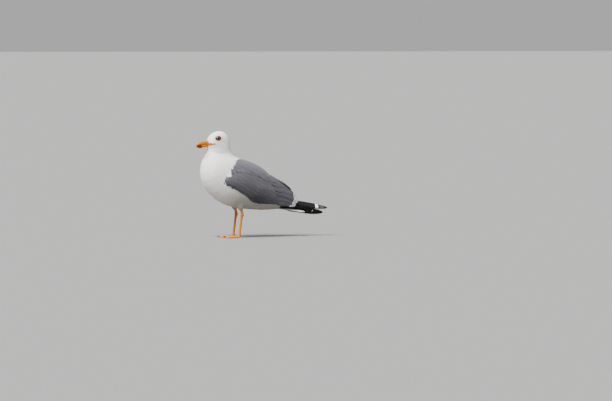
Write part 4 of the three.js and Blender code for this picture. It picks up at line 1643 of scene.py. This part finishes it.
@dataclass
class Bill:
    """The bill: a hooked upper half with slit nostrils over a lower half with its gonys angle."""

    upper: tuple[Ring, ...] = (
        Ring((-101, 340), (-101, 334), 4.6), Ring((-106, 343.8), (-105.5, 333.3), 7.0),
        Ring((-111, 345), (-110.5, 332.8), 7.5),
        Ring((-118, 344.8), (-118, 331.8), 7.1), Ring((-128, 343.4), (-128, 331), 6.4),
        Ring((-138, 341.8), (-137.5, 329.8), 5.6), Ring((-146, 339.2), (-145, 327.2), 4.8),
        Ring((-151.6, 334.8), (-149.4, 325), 3.8), Ring((-154.6, 328.8), (-151.6, 322), 2.5),
        Ring((-154.8, 321.8), (-153.2, 319.6), 0.9),
    )
    lower: tuple[Ring, ...] = (
        Ring((-101, 334), (-101, 324), 5.6), Ring((-108.5, 333.6), (-109, 322.4), 6.8),
        Ring((-118, 332.8), (-118, 321.8), 6.4), Ring((-128, 332), (-128, 320.6), 5.6),
        Ring((-136.5, 330.9), (-137.5, 318.2), 5.0), Ring((-143, 329), (-143.4, 318.3), 4.2),
        Ring((-148, 326.6), (-148.4, 319.4), 3.0), Ring((-151, 324.2), (-151.2, 320.8), 1.0),
    )
    nostril: tuple[float, float] = (-124.5, 337.0)
    nostril_size: tuple[float, float] = (4.2, 1.0)
    nostril_depth: float = 1.5

    def build(self) -> None:
        """Makes both halves and dresses them."""
        material = BillHorn("living bill horn").material()
        halves = (("upper_bill", self.upper, 0.7, -1), ("lower_bill", self.lower, 0.35, 1))
        for name, rings, widest, hand in halves:
            loft = Loft(rings, fullness=2.3, widest=widest, columns=44, rows=90)
            points, angles = loft.grid()
            edge = smooth_step(np.cos(angles) * hand, 0.72, 0.98) * 0.7  # where the halves meet
            if name == "upper_bill":
                off = (points[:, [0, 2]] - self.nostril) / self.nostril_size
                pit = np.exp(-((off**2).sum(axis=1)) * 1.4)
                points[:, 1] -= np.sign(points[:, 1]) * pit * self.nostril_depth
                # the nostril's pit is darkened: painted shade in the slit
                edge = np.maximum(edge, smooth_step(pit, 0.35, 0.8))
            dress(f"{name}_horn", loft.mesh(name, points, edge=edge), material, Slot.BILL, name)


@dataclass
class Eye:
    """An eye: the ball, and the red ring of its lids, a little lower at the top and bottom."""

    side: Side
    centre: Triple = (-81.5, 21.2, 352.5)
    radius: float = 8.6
    turn: float = 0.12
    tilt: float = 0.14
    opening: tuple[float, float] = (8.1, 6.0)  # half the width and height between the lids
    rim: tuple[float, float] = (11.8, 8.7)
    slant: float = -0.16  # the almond's rear corner is the higher one
    foot: float = 4.2  # how far out the rim's outer edge stands at least
    profile: Pairs = (  # the rim's section: share of the way out, and height
        (0.0, -0.5), (-0.04, 0.25), (0.12, 0.85), (0.35, 1.0), (0.6, 0.75), (0.85, 0.4), (1.0, -0.1),
        (0.8, -1.2), (0.3, -1.2),
    )

    def __post_init__(self) -> None:
        """Works out the eye's place, and the ways outwards, backwards and upwards from it."""
        hand = self.side.value
        ahead = -math.sin(self.turn) * math.cos(self.tilt)
        self.at = np.array(self.centre) * (1, hand, 1)
        self.outward = unit(np.array([ahead, hand * math.cos(self.turn), math.sin(self.tilt)]))
        self.back = unit(np.cross(self.outward, (0, 0, 1)) * hand)
        self.upward = unit(np.cross(self.back, self.outward) * hand)

    def build(self) -> None:
        """Makes the ball and the ring and dresses them."""
        self.ball()
        self.ring()

    def ball(self) -> None:
        """The eyeball, turned so that the pupil faces outwards."""
        rows, columns = 28, 32
        latitude = np.linspace(0, math.pi, rows + 2)[1:-1]
        turns = np.arange(columns) / columns * math.tau
        lat, lon = (grid.ravel() for grid in np.meshgrid(latitude, turns, indexing="ij"))
        lat, lon = np.append(lat, [0, math.pi]), np.append(lon, [0, 0])
        ahead, off = np.cos(lat), np.sin(lat)
        flat = (off * np.cos(lon))[:, None] * self.back + (off * np.sin(lon))[:, None] * self.upward
        points = self.at + self.radius * (ahead[:, None] * self.outward + flat)
        radius = np.where(ahead > 0, off * self.radius, self.radius * 2)
        mesh = outwards(mesh_of("eye", points, tube_faces(rows, columns, pointed=True), iris_radius=radius))
        word = self.side.word
        dress(f"{word}_eyeball", mesh, EyeGlaze("wet eye").material(), Slot.EYE, f"{word}_eye")

    def ring(self) -> None:
        """The lids: an almond opening in a beaded rim that hugs the ball."""
        columns = 56
        head = tree_of("head")
        points, lid = [], []
        for share, rise in self.profile:
            for column in range(columns):
                angle = column / columns * math.tau
                aside = self.back * math.cos(angle) + self.upward * math.sin(angle)
                inner, outer = self.almond(angle, self.opening), self.almond(angle, self.rim)
                on_ball = math.sqrt(max(self.radius**2 - inner**2, 0))
                foot = self.face(head, self.at + aside * outer)
                height = on_ball + (foot - on_ball) * max(share, 0) ** 1.3 + rise
                points.append(self.at + self.outward * height + aside * mixed(inner, outer, share))
                # painted shade: dark at the lids' inner edge against the ball, reaching further out at the
                # top, under the brow
                lid.append(max(0.0, 1 - abs(share) * (2.0 - 1.7 * max(math.sin(angle + self.slant), 0))))
        faces = [[i % len(points) for i in face] for face in net_faces(len(self.profile) + 1, columns)]
        mesh = outwards(mesh_of("eye_ring", np.array(points), faces, lid=np.array(lid)))
        word, red = self.side.word, RingSkin("beaded eye-ring skin").material()
        dress(f"{word}_eye_rim", mesh, red, Slot.RING, f"{word}_eye_ring")

    def face(self, head: BVHTree, place: Array) -> float:
        """How far outwards from a place beside the eye the head's face is."""
        start = Vector(in_frame(place + self.outward * 40))
        hit = head.ray_cast(start, Vector(-self.outward))[0]
        found = (from_feet(np.array(hit)) - place) @ self.outward if hit else self.foot
        return max(self.foot, float(found))

    def almond(self, angle: float, size: tuple[float, float]) -> float:
        """How far the almond's edge is from its centre in one direction."""
        turned = angle + self.slant
        wide, high = size
        return 1 / math.sqrt((math.cos(turned) / wide) ** 2 + (math.sin(turned) / high) ** 2)


@dataclass
class Gape:
    """The corner of the mouth: a wedge of yellow skin that runs back from the bill, with a red seam."""

    side: Side
    path: Pairs = ((-121, 331.9), (-113, 332.3), (-105, 332.8), (-98, 333.4), (-91.5, 334.0))
    heights: Pairs = ((-121, 3.0), (-112, 5.2), (-108, 4.2), (-104, 2.4), (-98, 1.3), (-91.5, 0.6))
    bill_side: Pairs = ((-121, 4.6), (-115, 6.6), (-109, 8.0), (-104, 8.6))  # x, how far out
    rows: int = 30
    columns: int = 32
    seam: float = 0.75

    def build(self) -> None:
        """Makes the wedge and dresses it."""
        hand, head, points = self.side.value, tree_of("head"), []
        line = catmull_rom(np.array(self.path), np.linspace(0, 1, self.rows))
        for x, z in line:
            half, least = float(looked_up(self.heights, x)), float(looked_up(self.bill_side, x))
            for column in range(self.columns):
                angle = column / self.columns * math.tau
                high = z + half * math.sin(angle)
                start = Vector(in_frame(np.array([x, hand * 90.0, high])))
                hit = head.ray_cast(start, Vector((0, -hand, 0)))[0]
                y = max(hit.y / MM * hand if hit else 0.0, least)
                crease = 0.7 * math.exp(-((half * math.sin(angle) / self.seam) ** 2))
                points.append((x, hand * (y - 0.5 + (1.1 - crease) * math.cos(angle)), high))
        off = np.abs(np.array(points)[:, 2] - np.repeat(line[:, 1], self.columns))
        edge = 0.95 * smooth_step(-off, -self.seam * 1.8, -self.seam * 0.7)
        mesh = outwards(mesh_of("gape", np.array(points), tube_faces(self.rows, self.columns), edge=edge))
        dress(f"{self.side.word}_gape", mesh, BillHorn("gape skin", dusk="#7c2412").material(), Slot.BILL)


@dataclass
class Leg:
    """A bare leg: scutes down the front of the shank, net scales behind, and the small hind toe."""

    side: Side
    spread: float = 27
    rings: tuple[Ring, ...] = (
        Ring((6.5, 108), (3.5, 108), 1.5), Ring((10.4, 102), (0.4, 101), 4.4),
        Ring((12, 93), (2.4, 91.5), 4.5), Ring((14.8, 84), (2.8, 84), 5.2),
        Ring((14.4, 77), (2.2, 78), 5.0), Ring((10.8, 68), (1.8, 69), 4.0),
        Ring((7.4, 45), (-1.4, 46), 3.6), Ring((4.4, 22), (-4.6, 23), 3.8), Ring((2.9, 11), (-7, 12.5), 4.8),
        Ring((1.4, 5.6), (-8.2, 7), 4.6), Ring((-1.4, 2.6), (-5.6, 3), 1.6),
    )
    scute: float = 2.7
    scute_depth: float = 0.15

    def build(self, foot: "Foot") -> None:
        """Makes the shank with its hind toe and dresses it."""
        y, word = self.side.value * self.spread, self.side.word
        loft = Loft(self.rings, columns=28, rows=150)
        points, angles = loft.grid(y)
        height = points[:, 2]
        plate = plates(height, self.scute, 0.82)
        scaled = smooth_step(-np.cos(angles), -0.25, 0.35) * smooth_step(height, 8, 16)
        middle = np.column_stack([self.middle(height), np.full(len(height), y), height])
        points = points + unit(points - middle) * ((plate - 0.5) * self.scute_depth * 2 * scaled)[:, None]
        groove = smooth_step(1 - plate, 0.75, 1.0) * scaled
        whole = bmesh.new()
        for mesh in (loft.mesh("leg", points, groove=groove), foot.hind_toe()):
            whole.from_mesh(mesh)
        mesh = outwards(written(whole))
        mesh.shade_smooth()
        dress(f"{word}_shank", mesh, ScaledSkin("scuted leg skin").material(), Slot.LEG, f"{word}_leg")

    def middle(self, z: Array) -> Array:
        """The x of the leg's own middle line at each height."""
        heights = [(r.top[1] + r.low[1]) / 2 for r in reversed(self.rings)]
        centres = [(r.top[0] + r.low[0]) / 2 for r in reversed(self.rings)]
        return np.interp(z, heights, centres)


@dataclass(frozen=True)
class Toe:
    """A toe: its length, and its turn from straight ahead in degrees."""

    name: str
    length: float
    turn: float


@dataclass
class Foot:
    """A webbed foot: three jointed toes round the ball of the foot, thin webs between them, and claws."""

    side: Side
    heel_x: float = -3
    spread: float = 27
    turn_out: float = 4
    toes: tuple[Toe, ...] = (Toe("inner", 44, 25), Toe("middle", 56, 0), Toe("outer", 52, -24))
    base: float = 3.9
    tip: float = 2.5
    sit: float = 0.72  # the height of a toe's middle, as a share of its radius at the base
    ball: float = 5.6
    sole: float = 0.55  # what lies below this height is pressed flat
    joints: int = 3
    web_thickness: float = 1.3
    voxel: float = 0.75
    scute: float = 2.6
    scute_depth: float = 0.22
    claw_length: float = 7.5
    claw_radius: float = 2.1
    claw_drop: float = 1.9

    def direction(self, turn: float) -> Array:
        """The way that a toe of that turn points."""
        angle = math.radians(self.side.value * (turn - self.turn_out))
        return np.array([-math.cos(angle), -math.sin(angle), 0.0])

    def heel(self) -> Array:
        """The place where the toes meet."""
        return np.array([self.heel_x, self.side.value * self.spread, 0.0])

    def toe_shell(
        self, length: float, turn: float, base: float, tip: float, lift: float = 0.0
    ) -> tuple[Array, list[list[int]]]:
        """A toe as a tube with swollen joints and a flat sole.

        Args:
            length: how far it reaches from the heel.
            turn: its turn from straight ahead, in degrees.
            base: its radius at the heel.
            tip: its radius at the tip.
            lift: how far it stands above the floor.

        Returns:
            The points and the faces.
        """
        rows, columns = 40, 18
        ahead = self.direction(turn)
        aside, upward = np.array([-ahead[1], ahead[0], 0.0]), np.array([0.0, 0.0, 1.0])
        points = []
        for share in np.linspace(0, 1, rows):
            swell = 1 + 0.13 * math.cos(share * self.joints * math.tau)
            rounded = math.sqrt(max(1 - (2 * share - 1) ** 10, 0.0))
            radius = (base + (tip - base) * share) * swell * rounded
            centre = self.heel() + ahead * share * length + upward * (base * self.sit + lift)
            for angle in np.arange(columns) / columns * math.tau:
                points.append(centre + (aside * math.cos(angle) + upward * math.sin(angle)) * radius)
        return np.array(points), tube_faces(rows, columns)

    def web_shell(self) -> tuple[Array, list]:
        """The webs: a thin sheet between the toes, hollowed at its free edges."""
        steps, span = 14, 22
        points = []
        tips = [self.direction(t.turn) * t.length * 0.97 for t in self.toes]
        for first, second in ((tips[0], tips[1]), (tips[1], tips[2])):
            for across in np.arange(span + 1) / span:
                arch = math.sin(across * math.pi)
                edge = mixed(first, second, across) * (1 - 0.42 * across * (1 - across))
                for reach in np.arange(steps + 1) / steps:
                    fold = 0.35 * math.sin(across * math.pi * 5) * arch
                    rise = 1.5 + (0.9 * arch + fold) * reach
                    points.append(self.heel() + edge * reach + np.array([0, 0, rise]))
        half, one = len(points) // 2, net_faces(span + 1, steps + 1, closed=False)
        return np.array(points), one + [[half + i for i in face] for face in one]

    def build(self) -> None:
        """Makes the foot and its claws and dresses them."""
        whole = bmesh.new()
        for toe in self.toes:
            self.into(whole, *self.toe_shell(toe.length, toe.turn, self.base, self.tip))
        ball = bmesh.new()
        bmesh.ops.create_icosphere(ball, subdivisions=3, radius=self.ball * MM)
        bmesh.ops.translate(ball, verts=ball.verts, vec=in_frame(self.heel() + (-1, 0, 3.4)))
        whole.from_mesh(written(ball))
        self.into(whole, *self.web_shell(), thickness=self.web_thickness)
        for vertex in whole.verts:
            vertex.co.z = max(vertex.co.z, 0.0)
        net = modified(written(whole), "REMESH", mode="VOXEL", voxel_size=self.voxel * MM)
        surface = Surface.of(net)
        points, groove = self.scuted(surface.blurred(surface.points, 4))
        points[:, 2] = np.where(points[:, 2] < self.sole, 0.0, points[:, 2])
        move(net, points)
        store(net, "groove", groove)
        net.shade_smooth()
        word, finish = self.side.word, ScaledSkin("scuted foot skin", yellow="#ee8a00", dust="#dd8a14")
        dress(f"{word}_webbed_foot", net, finish.material(), Slot.LEG, f"{word}_foot")
        for toe in self.toes:
            self.claw(toe)

    def into(self, whole: BMesh, points: Array, faces: list, thickness: float = 0.0) -> None:
        """Adds a shell to a mesh, or a sheet with its thickness."""
        mesh = mesh_of("shell", points, faces)
        if thickness:
            mesh = modified(mesh, "SOLIDIFY", thickness=thickness * MM, offset=0)
        whole.from_mesh(outwards(mesh))

    def scuted(self, points: Array) -> tuple[Array, Array]:
        """Raises a row of scutes along the top of every toe."""
        groove = np.zeros(len(points))
        raised = points.copy()
        for toe in self.toes:
            ahead = self.direction(toe.turn)
            off = points - self.heel()
            along = off @ ahead
            aside = np.abs(off @ np.array([-ahead[1], ahead[0], 0.0]))
            on_top = smooth_step(-aside, -3.6, -2.4) * smooth_step(points[:, 2], 2.0, 3.2)
            on_top = on_top * (along > 2) * (along < toe.length)
            plate = plates(along, self.scute, 0.8)
            raised[:, 2] += (plate - 0.5) * self.scute_depth * 2 * on_top
            groove = np.maximum(groove, smooth_step(1 - plate, 0.7, 1.0) * on_top)
        return raised, groove

    def hind_toe(self) -> Mesh:
        """The small hind toe, which grows from the back of the shank."""
        points, faces = self.toe_shell(11, 168, 2.6, 0.8, lift=5.5)
        return mesh_of("hind_toe", points, faces, groove=np.zeros(len(points)))

    def claw(self, toe: Toe) -> None:
        """A bent claw at the end of a toe."""
        height, rings = self.base * self.sit + 0.5, []
        for share in np.linspace(0, 1, 7):
            radius = self.claw_radius * math.sqrt(1 - share * 0.94)
            x, z = 2.5 - toe.length - self.claw_length * share, height - self.claw_drop * share * share
            rings.append(Ring((x, z + radius), (x, max(z - radius, 0.0)), radius * 0.75))
        loft = Loft(tuple(rings), columns=16, rows=20)
        points, _ = loft.grid()
        ahead = self.direction(toe.turn)
        cosine, sine = -ahead[0], -ahead[1]
        turned = points @ np.array([[cosine, sine, 0], [-sine, cosine, 0], [0, 0, 1]])
        node = f"{self.side.word}_{toe.name}_claw"
        claw = loft.mesh("claw", turned + self.heel())
        dress(f"{node}_horn", claw, ClawHorn("claw horn").material(), Slot.CLAW, node)


# ---- The studio ----


@dataclass
class Studio:
    """A plain pale floor under soft light, and the camera."""

    floor_size: float = 400.0
    azimuth: float = math.radians(-24)
    elevation: float = math.radians(2.5)
    distance: float = 13.0
    target: Triple = (0.129, -0.0996, 0.131)
    frame_width: float = 2.17  # metres across the picture, at the bird
    sensor: float = 36.0
    surround: Triple = (0.47, 0.47, 0.475)
    key_from: Triple = (-0.48, -0.26, 0.8)  # above the bird's breast
    key_power: float = 10.2
    key_spread: float = math.radians(36)

    def build(self) -> None:
        """Lays the floor, hangs the lights and places the camera."""
        self.lay_floor()
        self.light()
        self.place_camera()

    def lay_floor(self) -> None:
        """The floor, as one wide sheet of paper."""
        reach = self.floor_size / 2
        mesh = bpy.data.meshes.new("floor")
        corners = [(-reach, -reach, 0), (reach, -reach, 0), (reach, reach, 0), (-reach, reach, 0)]
        mesh.from_pydata(corners, [], [(0, 1, 2, 3)])
        floor = shown("floor", mesh)
        mesh.materials.append(StudioPaper("matt backdrop paper").material())

    def light(self) -> None:
        """An even pale surround, and one wide soft key light that reaches the whole floor alike."""
        world = bpy.data.worlds.new("pale surround")
        world.use_nodes = True
        world.node_tree.nodes["Background"].inputs["Color"].default_value = (*self.surround, 1)
        bpy.context.scene.world = world
        lamp = bpy.data.lights.new("key", "SUN")
        lamp.energy, lamp.angle = self.key_power, self.key_spread
        holder = bpy.data.objects.new("key", lamp)
        holder.rotation_euler = Vector(self.key_from).to_track_quat("Z", "Y").to_euler()
        bpy.context.collection.objects.link(holder)

    def place_camera(self) -> None:
        """The camera, in front of the bird's left side and a little above the floor."""
        level = math.cos(self.elevation)
        sideways, ahead = math.sin(self.azimuth) * level, -math.cos(self.azimuth) * level
        back = Vector((sideways, ahead, math.sin(self.elevation)))
        camera = bpy.data.cameras.new("camera")
        camera.sensor_width = self.sensor
        camera.sensor_fit = "HORIZONTAL"
        camera.lens = self.sensor * self.distance / self.frame_width
        camera.clip_end = 500
        holder = bpy.data.objects.new("camera", camera)
        holder.location = Vector(self.target) + back * self.distance
        holder.rotation_euler = back.to_track_quat("Z", "Y").to_euler()
        bpy.context.collection.objects.link(holder)
        bpy.context.scene.camera = holder


def build_gull() -> None:
    """Builds every part of the bird."""
    skin = Skin().build()
    Coat(skin).build()
    for side in Side:
        WingTip(side).build()
        Tertials(side).build()
        Eye(side).build()
        Gape(side).build()
        foot = Foot(side)
        Leg(side).build(foot)
        foot.build()
    Saddle().build()
    Tail().build()
    Bill().build()


def main() -> None:
    """Builds the gull and its studio."""
    logging.basicConfig(level=logging.INFO, format="%(name)s: %(message)s")
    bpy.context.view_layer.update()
    build_gull()
    Studio().build()
    bpy.context.view_layer.update()


if __name__ == "__main__":
    main()
